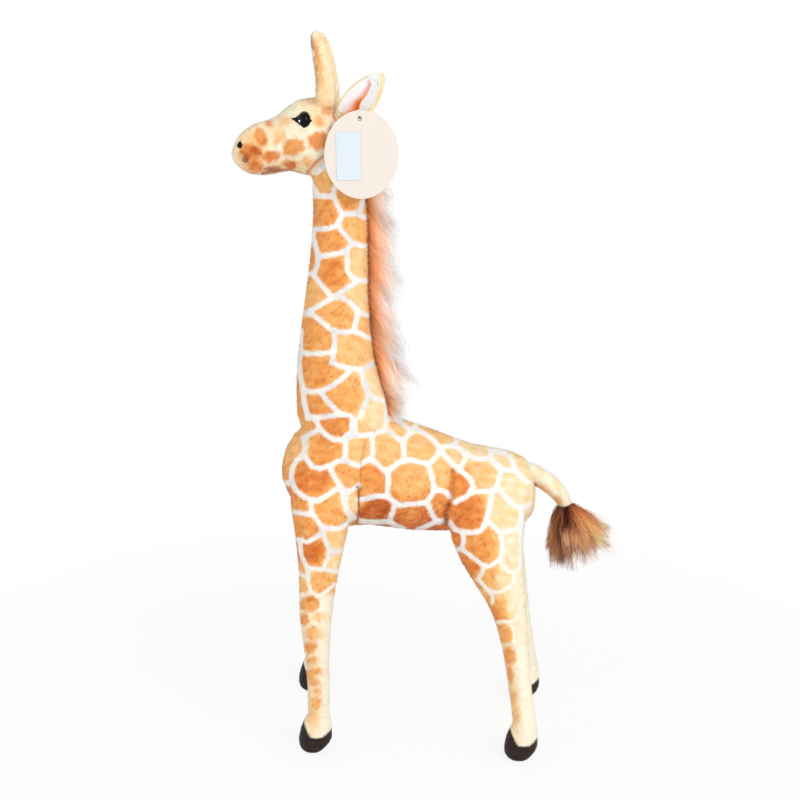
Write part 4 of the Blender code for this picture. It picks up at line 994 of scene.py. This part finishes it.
def pile(name, roots, normals, lay, lengths, lifts, rng, width=STRAND_WIDTH):
    """Makes one triangle for each strand, leaning along its lay. Every three vertices are one strand."""
    count = len(roots)
    lean = unit(normals * np.sin(lifts)[:, None] + lay * np.cos(lifts)[:, None])
    across = unit(np.cross(lean, normals))
    twist = rng.uniform(-0.4, 0.4, count)[:, None]
    across = across * np.cos(twist) + np.cross(lean, across) * np.sin(twist)
    foot = roots - normals * STRAND_SINK
    half = across * (width * rng.uniform(0.8, 1.3, count))[:, None] / 2
    places = np.stack((foot - half, foot + half, roots + lean * lengths[:, None]), axis=1)
    mesh = new_mesh(name, places.reshape(-1, 3), np.arange(count * 3), 3)
    facing = unit(normals + lean * 0.25 + rng.normal(0.0, 0.08, (count, 3)))
    mesh.normals_split_custom_set_from_vertices(np.repeat(facing, 3, axis=0))
    write_cells(mesh, count, ((0.1, 0.1), (0.9, 0.1), (0.5, 0.9)))
    return mesh


def lay_along(normals, way, roots, stir):
    """Gives the way the pile lies: along a direction, stirred into small partings."""
    lay = np.asarray(way) + waves(roots, PARTING_LENGTH, 5) * stir
    lay = lay - normals * (lay * normals).sum(axis=1, keepdims=True)
    return unit(lay)


def quick_share():
    return 1.0


# Torso, neck, head, legs and hooves

def wobbled(pixels, points, wobbles):
    """Moves pixels about. Each wobble has a length in metres, a salt and a reach in pixels."""
    for length, salt, reach in wobbles:
        pixels = pixels + waves(points, length, salt)[:, :2] * reach
    return pixels


def coat_print_and_shade(points, normals, middles):
    """Colours the coat: orange patches on white, soft spots on head, horns and lower legs, and painted
    shade.
    """
    pixels = wobbled(seen_pixels(points), points, PRINT_WOBBLES)
    spotted = wobbled(pixels, points, SPOT_WOBBLES)
    across, down = pixels[:, 0], pixels[:, 1]
    tag = np.hypot((across - TAG_MIDDLE[0]) / TAG_HALF[0], (down - TAG_MIDDLE[1]) / TAG_HALF[1])
    seen = step(-0.06, 0.12, facing_camera(points, normals)) * step(0.9, 1.05, tag)
    edge = seen * seen_edges(pixels) + (1.0 - seen) * hidden_edges(points, middles)
    tone = tones_at(pixels) + 0.07 * waves(points, 0.012, 4)[:, 0]
    head_edge = HEAD_EDGE_DOWN - HEAD_EDGE_SLOPE * np.clip(across - HEAD_EDGE_START, 0.0, HEAD_EDGE_REACH)
    head = step(2.0, -2.0, down - head_edge) * step(*HEAD_BACK_EDGE, across)
    low_leg = np.where(across < LEGS_PARTING, step(*LOW_FRONT_LEG, down), step(*LOW_REAR_LEG, down))
    colour = mixed(step(540.0, 640.0, down), BODY_WHITE, LEG_CREAM)
    # Painted shade: towards the chest and neck the white goes grey in soft patches
    painted_side_shade = step(430.0, 360.0, across) * step(600.0, 540.0, down)
    painted_side_shade = painted_side_shade * step(0.0, 1.0, waves(points, 0.035, 12)[:, 0])
    colour = mixed(0.55 * painted_side_shade, colour, SIDE_SHADE_GREY)
    colour = mixed(head, colour, HEAD_CREAM)
    share = step(-PRINT_BLUR, PRINT_BLUR, edge) * (1.0 - head) * (1.0 - low_leg)
    colour = mixed(share, colour, dye_of(tone))
    colour = mixed(head, colour, painted(colour, spotted, HEAD_SPOTS + HORN_SPOTS, 0.10))
    colour = mixed(low_leg, colour, painted(colour, spotted, LEG_SPOTS))
    # Painted shade along the seams and folds, at the ears' base and under the jaw
    for half, blur, deep, strength, _, line in FOLDS:
        away = pixels_from_line(pixels, line)
        colour = mixed(strength * step(half + blur, half, away) * seen, colour, dye_of([deep])[0])
    return colour


def make_coat(look):
    """Makes the skin of torso, neck, head, horns, legs and hooves, with its print and its pile."""
    skin = make_skin()
    tree = surface_tree(skin)
    middles = hidden_middles(skin)
    rng = np.random.default_rng(SEED + 8)
    places = vertex_places(skin)
    normals = vertex_normals(skin)
    quads = read_values(skin.polygons, "vertices", 4, np.int32)
    owners = nearest_nodes(places[quads].mean(axis=1))
    cloth = coat_print_and_shade(places, normals, middles)
    cloth = mixed(hoof_at(places), cloth, HOOF_CLOTH)
    roots, facing, faces = scatter(skin, PILE_PER_AREA * quick_share(), 7,
                                   lambda spots, ways: (spots[:, 2] > 0.004) | (ways[:, 2] > -0.3))
    lays = lay_along(facing, COAT_LAY, roots, 0.7)
    dyes = coat_print_and_shade(roots, facing, middles)
    # Painted shade of the pile's partings in dark streaks and painted sheen in pale ones, stronger in deeper
    # patches
    slant = unit(np.array(STREAK_WAY))
    streak = waves(roots - (roots @ slant)[:, None] * slant * STREAK_STRETCH, STREAK_LENGTH, 14, 28)[:, 0]
    streak = streak + rng.normal(0.0, 0.15, len(roots))
    depth = np.clip((STREAKS_START_BLUE - dyes[:, 2]) / STREAKS_BLUE_SPAN, 0.0, 1.0)
    depth = depth * (1.0 - HEAD_STREAK_LOSS * step(*HEAD_HEIGHTS, roots[:, 2]))
    dyes = mixed(step(0.1, 1.0, streak) * depth * DARK_STREAK_SHARE, dyes, DARK_STREAK)
    dyes = mixed(step(0.1, 0.9, -streak) * depth * PALE_STREAK_SHARE, dyes, PALE_STREAK)
    hoof = hoof_at(roots)
    # Painted highlights: paler streaks in the hooves' dark pile
    dyes = mixed(hoof, dyes, mixed(step(-0.3, 1.3, streak), HOOF_DARK, HOOF_HIGHLIGHT))
    dyes *= rng.uniform(0.95, 1.04, len(roots))[:, None]
    for number, name in enumerate((*STUFFED, *HOOVES)):
        mine, corners = np.unique(quads[owners == number], return_inverse=True)
        mesh = new_mesh(name + "_cloth", places[mine], corners, 4)
        mesh.normals_split_custom_set_from_vertices(normals[mine])
        # The cloth a little darker: painted shade under the pile
        write_vertex_colours(mesh, cloth[mine] * 0.97)
        piece = show(name + "_cloth", mesh, look, "figure")
        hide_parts(name + ("_cover" if name in HOOVES else "_skin"))
        own = owners[faces] == number
        count = int(own.sum())
        lengths = STRAND_LENGTH * rng.uniform(*STRAND_LENGTH_SHARES, count) * (1.0 - 0.4 * hoof[own])
        lifts = np.radians(rng.uniform(*COAT_LIFT_DEGREES, count))
        mesh = pile(name + "_pile", roots[own], facing[own], lays[own], lengths, lifts, rng)
        # Painted shade: each strand darker at its root than at its tip
        root_shade = np.tile(COAT_ROOT_SHADE, count)[:, None]
        write_vertex_colours(mesh, np.clip(np.repeat(dyes[own], 3, axis=0) * root_shade, 0.0, 1.0))
        show(name + "_pile", mesh, look, "figure")
    return tree


# Smaller plush pieces

def plush_piece(name, node, body, look, voxel, dye, way, length, per_area, shape=None):
    """Dresses one node in smooth cloth with a short pile, dyed by place and normal, the cloth darker with
    painted shade.
    """
    mesh = union([shape or NODES[node].data], voxel, 3)
    rng = np.random.default_rng(SEED + sum(map(ord, name)))
    roots, normals, _ = scatter(mesh, per_area * quick_share(), sum(map(ord, name)))
    write_vertex_colours(mesh, dye(vertex_places(mesh), vertex_normals(mesh)) * 0.93)
    cloth = show(name + "_cloth", mesh, look, body)
    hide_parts(node)
    count = len(roots)
    lengths = length * rng.uniform(*STRAND_LENGTH_SHARES, count)
    lifts = np.radians(rng.uniform(*SMALL_LIFT_DEGREES, count))
    lays = lay_along(normals, way, roots, 0.5)
    hairs = pile(name + "_pile", roots, normals, lays, lengths, lifts, rng, STRAND_WIDTH * 0.8)
    shade = rng.uniform(0.90, 1.06, count)[:, None]
    # Painted shade: each strand darker at its root than at its tip
    colours = np.repeat(dye(roots, normals) * shade, 3, axis=0) * np.tile(SMALL_ROOT_SHADE, count)[:, None]
    write_vertex_colours(hairs, np.clip(colours, 0.0, 1.0))
    show(name + "_pile", hairs, look, body)
    return cloth


def tail_colour_and_shade(points, normals):
    """Dyes the tail cream, with pale orange patches and painted shade, darker orange, on its underside."""
    patchy = step(0.45, 0.75, 0.5 + 0.5 * waves(points, 0.020, 33)[:, 0])
    colour = mixed(patchy * 0.5, TAIL_CREAM, TAIL_PATCH)
    # Painted shade: faces turned downwards go darker orange
    under = step(0.1, -0.8, normals[:, 2] - normals[:, 0] * 0.6)
    colour = mixed(under * 0.65, colour, TAIL_UNDERSIDE_SHADE)
    return painted(colour, seen_pixels(points), TAIL_SPOTS)


def inside_loop(pixels, loop):
    """Gives how far each pixel lies inside a closed outline, less than 0 outside it."""
    away = pixels_from_line(pixels, loop + loop[:1])
    within = np.zeros(len(pixels), dtype=bool)
    for (x0, y0), (x1, y1) in zip(loop, loop[1:] + loop[:1]):
        crosses = (y0 > pixels[:, 1]) != (y1 > pixels[:, 1])
        reach = x0 + (pixels[:, 1] - y0) * (x1 - x0) / ((y1 - y0) or 1.0)
        within ^= crosses & (pixels[:, 0] < reach)
    return np.where(within, away, -away)


def lining_dye(points, _):
    """Dyes the ear's lining cream, salmon beside its fold and orange at the fold's foot."""
    pixels = seen_pixels(points)
    across, down = pixels[:, 0], pixels[:, 1]
    fold_across = np.interp(down, [y for _, y in EAR_FOLD_PIXELS], [x for x, _ in EAR_FOLD_PIXELS])
    beside = fold_across - across
    spread = np.clip(3.0 + (down - 80.0) * 0.50, 3.0, 20.0)
    shade = step(1.0, 0.1, beside / spread) * step(-1.4, 0.2, beside) * step(77.0, 83.0, down)
    colour = mixed(0.35 * step(0.0, 1.0, waves(points, 0.008, 35)[:, 0]), LINING_WHITE, LINING_ROSE)
    colour = mixed(shade * 0.95, colour, mixed(step(90.0, 98.0, down), FOLD_SALMON, FOLD_APRICOT))
    return mixed(step(9.0, 1.0, beside) * (beside > 0.0) * step(95.0, 103.0, down), colour, FOLD_ORANGE)


def ear_dye(points, normals):
    """Dyes the ear's back and rim pale yellow, and its hollow as the lining."""
    patchy = 0.5 + 0.5 * waves(points, 0.015, 34)[:, 0]
    colour = mixed(patchy * 0.7, EAR_CREAM, EAR_PATCH)
    hollow = step(-0.4, 0.6, inside_loop(seen_pixels(points), EAR_LINING_PIXELS))
    hollow = hollow * step(0.0, 0.2, facing_camera(points, normals))
    return mixed(hollow, colour, lining_dye(points, normals))


def tail_tube():
    """Makes the tapering tube of the tail, whose root lies inside the rump."""
    path = bpy.data.curves.new("tail_path", "CURVE")
    path.dimensions = "3D"
    path.bevel_depth = 1.0
    path.bevel_resolution = 8
    path.use_fill_caps = True
    spline = path.splines.new("NURBS")
    spline.points.add(len(TAIL_PIXELS) - 1)
    spline.use_endpoint_u = True
    for point, (across, down, half) in zip(spline.points, TAIL_PIXELS):
        place, ray = photo_ray(across, down)
        spot = place - ray * (place.y / ray.y)
        point.co = (spot.x, 0.0, spot.z, 1.0)
        point.radius = half * PIXEL_SPAN
    return final_mesh(placed("tail_path", path))


def make_small_plush(look):
    """Makes tail and ears."""
    for side in ("left", "right"):
        ear = side + "_ear"
        plush_piece(ear + "_back", ear + "_outer", ear, look, 0.0006, ear_dye,
                    EAR_LAY, 0.0011, EAR_PILE_PER_AREA)
        plush_piece(ear + "_lining", ear + "_lining", ear, look, 0.0005, lining_dye,
                    EAR_LAY, 0.0010, EAR_PILE_PER_AREA)
    tail = plush_piece("tail", "tail_skin", "tail", look, 0.0012, tail_colour_and_shade,
                       TAIL_LAY, 0.0020, TAIL_PILE_PER_AREA, tail_tube())


# Hair

def hair_paths(roots, ways, lengths, bows, curl, rng):
    """Gives the points along hairs that bend by their bows: one row of HAIR_STEPS + 1 points to a hair."""
    share = HAIR_SHARES[None, :, None]
    reach = lengths[:, None, None]
    paths = roots[:, None, :] + (ways[:, None, :] + bows[:, None, :] * share) * reach * share
    phase = rng.uniform(0.0, math.tau, (len(roots), 1, 3))
    turns = rng.uniform(0.6, 1.6, (len(roots), 1, 1)) * math.tau
    return paths + np.sin(share * turns + phase) * share * reach * curl


def gather(paths, guides, pull, rng):
    """Draws each hair's outer end towards a near guide hair, so that hairs hang in locks."""
    away = np.linalg.norm(paths[:, None, HAIR_STEPS // 2] - guides[None, :, HAIR_STEPS // 2], axis=2)
    near = np.argpartition(away, 3, axis=1)[:, :3]
    chosen = near[np.arange(len(paths)), rng.integers(0, 3, len(paths))]
    own = pull * rng.uniform(0.3, 1.0, len(paths))[:, None, None]
    return paths + (guides[chosen] - paths) * own * HAIR_SHARES[None, :, None] ** 1.3, chosen


def hair_mesh(name, paths, width, facing, rng):
    """Makes a tapering ribbon of each hair, whose flat side faces out of the bunch."""
    count = len(paths)
    rows = HAIR_STEPS + 1
    along = unit(np.gradient(paths, axis=1))
    out = unit(facing + rng.normal(0.0, 0.30, (count, 3)))
    side = unit(np.cross(along, out[:, None, :]))
    taper = width * (1.0 - 0.75 * HAIR_SHARES ** 1.5)
    half = side * (taper[None, :] * rng.uniform(0.6, 1.2, (count, 1)))[:, :, None] / 2
    places = np.stack((paths - half, paths + half), axis=2).reshape(-1, 3)
    first = (np.arange(count) * rows * 2)[:, None] + np.arange(HAIR_STEPS)[None, :] * 2
    corners = first[:, :, None] + np.array((0, 1, 3, 2))[None, None, :]
    mesh = new_mesh(name, places, corners, 4)
    mesh.normals_split_custom_set_from_vertices(np.repeat(out, rows * 2, axis=0))
    low = np.arange(HAIR_STEPS) / HAIR_STEPS * 0.8 + 0.1
    high = low + 0.8 / HAIR_STEPS
    cell = [spot for bottom, top in zip(low, high)
            for spot in ((0.1, bottom), (0.9, bottom), (0.9, top), (0.1, top))]
    write_cells(mesh, count, cell)
    return mesh


def hair_colours(stops, shades):
    """Colours hairs along their length by stops of share and colour, each hair in its own shades."""
    rows = colours_at(HAIR_SHARES, stops)[None, :, :] * shades
    return np.clip(np.repeat(rows, 2, axis=1), 0.0, 1.0).reshape(-1, 3)


def make_mane(tree, look):
    """Makes the mane: a dense auburn underlayer and long hairs with pale wispy ends."""
    rng = np.random.default_rng(SEED + 20)
    low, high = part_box("mane")

    def rooted(count):
        places, facing = [], []
        for _ in range(count):
            tall = rng.uniform(low[2] + 0.003, high[2])
            across = float(np.clip(rng.normal(0.0, MANE_ROOT_SPREAD), -MANE_HALF_WIDTH, MANE_HALF_WIDTH))
            hit, normal, _, _ = tree.ray_cast(Vector((0.3, across, tall)), Vector((-1.0, 0.0, 0.0)))
            places.append(hit)
            facing.append(normal)
        places = np.array(places)
        ways = np.array(facing)
        ways[:, 2] -= rng.uniform(0.25, 1.25, count)
        ways[:, 1] += places[:, 1] * 45.0 + rng.normal(0.0, 0.28, count)
        return places, unit(ways)

    def envelope(places):
        height = places * (0.0, 0.0, 1.0)
        uneven = 1.0 + 0.24 * waves(height, 0.026, 22)[:, 0] + 0.12 * waves(height, 0.010, 23)[:, 0]
        return uneven * (0.42 + 0.58 * step(low[2], low[2] + 0.055, places[:, 2]))

    count = int(MANE_HAIRS * max(quick_share(), QUICK_HAIR_SHARE))
    long_count = count * 3 // 10
    guide_roots, guide_ways = rooted(MANE_GUIDES)
    guide_lengths = rng.uniform(*MANE_LONG, MANE_GUIDES) * envelope(guide_roots)
    bows = rng.uniform(0.1, 0.8, (MANE_GUIDES, 1)) * DOWNWARDS
    guides = hair_paths(guide_roots, guide_ways, guide_lengths, bows, 0.20, rng)
    # Each lock a little darker or lighter at random, partly painted shade between the locks
    lock_shades = rng.uniform(0.62, 1.12, (MANE_GUIDES, 1, 1))
    for name, number, reach, pull, stops in (
        ("mane_underlayer", count - long_count, MANE_SHORT, 0.55, MANE_UNDERLAYER_STOPS),
        ("mane_locks", long_count, MANE_LONG, 0.85, MANE_LOCK_STOPS),
    ):
        roots, ways = rooted(number)
        lengths = rng.uniform(*reach, number) * envelope(roots)
        bows = rng.uniform(0.0, 0.8, (number, 1)) * DOWNWARDS
        paths, chosen = gather(hair_paths(roots, ways, lengths, bows, 0.16, rng), guides, pull, rng)
        side = np.clip(paths[:, HAIR_STEPS // 2, 1:2] / 0.006, -1.0, 1.0)
        outward = np.hstack((np.full_like(side, 0.5), side, np.full_like(side, 0.45)))
        mesh = hair_mesh(name, paths, HAIR_WIDTH, outward, rng)
        shades = rng.uniform(0.86, 1.10, (number, 1, 1)) * lock_shades[chosen]
        write_vertex_colours(mesh, hair_colours(stops, shades))
        piece = show(name, mesh, look, "figure")
        piece.visible_shadow = False
        if name == "mane_underlayer":
            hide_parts("mane")


def make_tuft(look):
    """Makes the tail's tuft: hairs that fan out from the tail's end round a dark middle."""
    rng = np.random.default_rng(SEED + 21)
    root = np.array(joint_place("tuft_flop")) + TUFT_OFFSET
    axis = unit(np.array(TUFT_AXIS))
    sideways = np.array((0.0, 1.0, 0.0))

    def fanned(count):
        angle = rng.uniform(0.0, math.tau, count)
        out = np.sqrt(rng.random(count))
        ahead = np.cos(angle) * out
        disc = np.array(TUFT_ACROSS) * ahead[:, None] + sideways * (np.sin(angle) * out)[:, None]
        roots = root + disc * TUFT_ROOT_RADIUS + axis * rng.uniform(*TUFT_ROOT_SPAN, count)[:, None]
        spread = 1.35 + 0.20 * ahead * (ahead > 0.0)
        ways = unit(axis + disc * spread[:, None] + rng.normal(0.0, 0.12, (count, 3)))
        sag = 0.35 * step(0.2, -0.4, ahead) + rng.uniform(0.0, 0.15, count)
        bows = -0.42 * disc * step(0.5, -0.2, ahead)[:, None] + DOWNWARDS * sag[:, None]
        return roots, ways, bows, ahead, 1.0 - 0.34 * np.clip(-ahead, 0.0, 1.0)

    count = int(TUFT_HAIRS * max(quick_share(), QUICK_HAIR_SHARE))
    roots, ways, bows, _, shorter = fanned(TUFT_GUIDES)
    reach = rng.uniform(*TUFT_GUIDE_REACH, TUFT_GUIDES) * shorter
    guides = hair_paths(roots, ways, reach, bows, 0.10, rng)
    roots, ways, bows, ahead, shorter = fanned(count)
    reach = rng.uniform(*TUFT_REACH, count) * shorter
    paths, chosen = gather(hair_paths(roots, ways, reach, bows, 0.09, rng), guides, 0.92, rng)
    mesh = hair_mesh("tail_tuft_hair", paths, HAIR_WIDTH * 1.3, unit(paths[:, -1] - root - axis * 0.02), rng)
    # Painted light and shade: hairs in the fan's middle dark near the root and lighter to the end, hairs
    # leaning to the sides lighter, most towards the key lamp
    inner = 0.10 + 0.85 * step(0.10, 0.4, ahead) + 1.00 * step(0.4, 0.75, ahead)
    inner = inner + 0.55 * step(-0.25, -0.6, ahead)
    outward = step(0.55, 0.95, HAIR_SHARES)
    shades = inner[:, None] + (1.05 - inner)[:, None] * outward * (inner < 1.05)[:, None]
    own = rng.uniform(0.40, 1.15, TUFT_GUIDES)[chosen] * rng.uniform(0.85, 1.15, count)
    shades = (shades * own[:, None])[:, :, None]
    shades = np.maximum(shades, 1.0) * np.clip(shades, 0.02, 1.0) ** np.array((1.0, 1.4, 1.7))
    write_vertex_colours(mesh, hair_colours(TUFT_STOPS, shades))
    piece = show("tail_tuft_hair", mesh, look, "tuft")
    piece.visible_shadow = False
    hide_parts("tail_tuft")


# Eyes, nostrils and mouth

def mirrored(mesh, name):
    """Copies a mesh to the other side of the middle plane."""
    other = mesh.copy()
    other.name = name
    other.transform(Matrix.Diagonal((1.0, -1.0, 1.0, 1.0)))
    other.flip_normals()
    return other


def patch_on_skin(name, outline, tree, lift):
    """Makes a low pad that follows the skin inside an outline of the photograph's pixels."""
    edge = smooth_loop(np.array(outline, dtype=float), PAD_STEPS)
    middle = edge.mean(axis=0)
    places = []
    for ring in range(PAD_RINGS + 1):
        share = ring / PAD_RINGS
        height = lift * math.sqrt(max(0.0, 1.0 - share ** 3)) - 0.0004 * share ** 6
        for across, down in middle + (edge - middle) * max(share, 0.02):
            hit, normal = cast(tree, across, down)
            places.append(hit + normal * height)
    sheet = bmesh.new()
    made = [sheet.verts.new(place) for place in places]
    for start in range(0, PAD_RINGS * PAD_STEPS, PAD_STEPS):
        for first in range(PAD_STEPS):
            second = (first + 1) % PAD_STEPS
            face = (first, second, PAD_STEPS + second, PAD_STEPS + first)
            sheet.faces.new([made[start + corner] for corner in face])
    sheet.faces.new(made[:PAD_STEPS])
    bmesh.ops.recalc_face_normals(sheet, faces=sheet.faces)
    mesh = mesh_of(sheet, name)
    place, _ = photo_ray(*middle)
    if mesh.polygons[0].normal.dot(place - Vector(places[0])) < 0.0:
        mesh.flip_normals()
    mesh.shade_smooth()
    return mesh


def smooth_loop(points, steps):
    """Rounds a closed outline into an even run of points."""
    count = len(points)
    places = np.arange(steps) / steps * count
    whole = places.astype(int)
    share = (places - whole)[:, None]
    before, first, second, after = (points[(whole + shift) % count] for shift in (-1, 0, 1, 2))
    return 0.5 * (2.0 * first + (second - before) * share
                  + (2.0 * before - 5.0 * first + 4.0 * second - after) * share ** 2
                  + (3.0 * first - before - 3.0 * second + after) * share ** 3)


def make_face(tree):
    """Makes eyes, their backings, nostrils and the mouth's stitch."""
    eye_look, _, shader = new_material("eye_plastic", 0.08)
    shader.inputs["Base Color"].default_value = EYE_BLACK
    shader.inputs["Specular IOR Level"].default_value = 0.12
    felt = plain_material("dark_felt", FELT_BLACK, 0.8, 0.3)
    thread = plain_material("grey_thread", THREAD_GREY, 0.7, 0.3)
    hit, normal = cast(tree, *EYE_PIXEL)
    low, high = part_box("left_eye")
    radius = (high[2] - low[2]) / 2
    sheet = bmesh.new()
    bmesh.ops.create_uvsphere(sheet, u_segments=48, v_segments=24, radius=1.0)
    mesh = mesh_of(sheet, "left_eye_dome")
    mesh.shade_smooth()
    turn = normal.to_track_quat("Z", "Y").to_matrix().to_4x4()
    size = Matrix.Diagonal((radius, radius * EYE_DOME_WIDENING, EYE_DOME_DEPTH, 1.0))
    mesh.transform(Matrix.Translation(hit - normal * EYE_SINK) @ turn @ size)
    spot, out = cast(surface_tree(mesh), *GLINT_PIXEL)
    seen_from = (camera_place()[0] - spot).normalized()
    away = (2.0 * out.dot(seen_from) * out - seen_from).normalized()
    glint = add_lamp("glint", spot + away * GLINT_DISTANCE, spot, GLINT_SIZE, GLINT_POWER)
    eyes = bpy.data.collections.new("eyes")
    glint.light_linking.receiver_collection = eyes
    backing = patch_on_skin("left_eye_rim", EYE_OUTLINE_PIXELS, tree, EYE_RIM_LIFT)
    nostril = patch_on_skin("left_nostril_pad", NOSTRIL_PIXELS, tree, NOSTRIL_LIFT)
    for left, look, slot, node in (
        (mesh, eye_look, "eye_plastic", "eye"),
        (backing, felt, "dark_backing", "eye_backing"),
        (nostril, felt, "dark_backing", "nostril"),
    ):
        right = mirrored(left, left.name.replace("left", "right"))
        for side, shape in (("left", left), ("right", right)):
            piece = show(shape.name, shape, look, "figure")
            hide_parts(side + "_" + node)
            if node == "eye":
                eyes.objects.link(piece)
    path = bpy.data.curves.new("mouth_stitch", "CURVE")
    path.dimensions = "3D"
    path.bevel_depth = STITCH_RADIUS
    path.use_fill_caps = True
    for mirror in (1.0, -1.0):
        spline = path.splines.new("POLY")
        spline.points.add(len(MOUTH_PIXELS) - 1)
        for point, pixel in zip(spline.points, MOUTH_PIXELS):
            place, normal = cast(tree, *pixel)
            place = place + normal * STITCH_LIFT
            point.co = (place.x, place.y * mirror, place.z, 1.0)
    stitch = placed("mouth_stitch", path)
    path.materials.append(thread)
    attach(stitch, "figure")


# Hang tag

def make_tag():
    """Gives the blank tag its card, its bare sticker and its plastic fastener."""
    card = plain_material("tag_card", CARD_CREAM, 0.6, 0.02, 60.0)
    paper = plain_material("sticker_paper", STICKER_BLUE, 0.45, 0.02, 60.0)
    plastic, tree, shader = new_material("fastener_plastic", 0.4)
    middle = NODES["tag_fastener"].matrix_world.inverted() @ joint_place("tag_swing")
    place = tree.nodes.new("ShaderNodeTexCoord")
    from_middle = vector_step(tree, "SUBTRACT", place.outputs["Object"], middle)
    across = vector_step(tree, "MULTIPLY", from_middle, (1.0, 0.0, 1.0))
    away = vector_step(tree, "LENGTH", across)
    pin = blend(tree, ranged(tree, away, PIN_RADIUS, PIN_RADIUS * 1.4), PIN_DARK, CARD_CREAM)
    tree.links.new(pin, shader.inputs["Base Color"])
    looks = {"tag_back_leaf": card, "tag_front_leaf": card, "tag_sticker": paper, "tag_fastener": plastic}
    for node, look in looks.items():
        NODES[node].data.materials.clear()
        NODES[node].data.materials.append(look)


# Camera, floor and light

def make_camera():
    """Puts the photograph's camera in place."""
    lens = bpy.data.cameras.new("photo_camera")
    lens.sensor_width = SENSOR_WIDTH
    lens.lens = FOCAL_PIXELS / PHOTO_SIZE * SENSOR_WIDTH
    camera = placed("photo_camera", lens)
    camera.rotation_mode = "QUATERNION"
    camera.location, camera.rotation_quaternion = camera_place()
    bpy.context.scene.camera = camera


def make_stage():
    """Makes the pale floor, which keeps the soft shadow."""
    mesh = bpy.data.meshes.new("floor")
    corners = ((-FLOOR_REACH, -FLOOR_REACH, 0.0), (FLOOR_REACH, -FLOOR_REACH, 0.0),
               (FLOOR_REACH, FLOOR_REACH, 0.0), (-FLOOR_REACH, FLOOR_REACH, 0.0))
    mesh.from_pydata(corners, [], [(0, 1, 2, 3)])
    made = bpy.data.materials.new("floor")
    made.use_nodes = True
    tree = made.node_tree
    shader = tree.nodes["Principled BSDF"]
    shader.inputs["Base Color"].default_value = (0.9, 0.9, 0.9, 1.0)
    shader.inputs["Roughness"].default_value = 1.0
    shader.inputs["Specular IOR Level"].default_value = 0.0
    glow = tree.nodes.new("ShaderNodeEmission")
    glow.inputs["Strength"].default_value = 1.0
    place = tree.nodes.new("ShaderNodeTexCoord")
    away = vector_step(tree, "LENGTH", place.outputs["Object"])
    fade = ranged(tree, away, *FLOOR_FADE, FLOOR_GLOW_MIDDLE)
    share = combined(tree, "MULTIPLY", white_share(tree), fade)
    mixed_shaders(tree, share, shader, glow, "Material Output")
    floor = placed("floor", mesh)
    mesh.materials.append(made)


def add_lamp(name, place, target, size, power):
    """Puts a square lamp at a place, aimed at a target, and gives it."""
    lamp = bpy.data.lights.new(name, "AREA")
    lamp.size = size
    lamp.energy = power
    holder = placed(name, lamp)
    holder.location = place
    holder.rotation_mode = "QUATERNION"
    holder.rotation_quaternion = (target - place).to_track_quat("-Z", "Y")
    return holder


def make_light():
    """Lights the figure softly: a white world, a large lamp from the tail's side, a weaker one opposite."""
    world = bpy.data.worlds.new("studio")
    bpy.context.scene.world = world
    world.use_nodes = True
    tree = world.node_tree
    back = tree.nodes["Background"]
    seen = tree.nodes.new("ShaderNodeBackground")
    for node, strength in ((back, WORLD_STRENGTH), (seen, 1.0)):
        node.inputs["Color"].default_value = PURE_WHITE
        node.inputs["Strength"].default_value = strength
    mixed_shaders(tree, white_share(tree), back, seen, "World Output")
    for name, place, size, power in LAMPS:
        add_lamp(name, Vector(place), CAMERA_TARGET, size, power)


bpy.context.scene.view_settings.view_transform = "Standard"
make_camera()
make_stage()
make_light()
plush_look = vertex_colour_material("plush", 0.9, 0.12)
coat_tree = make_coat(plush_look)
press_fillings()
make_small_plush(plush_look)
hair_look = vertex_colour_material("hair", 0.6, 0.1)
make_mane(coat_tree, hair_look)
make_tuft(hair_look)
make_face(coat_tree)
make_tag()
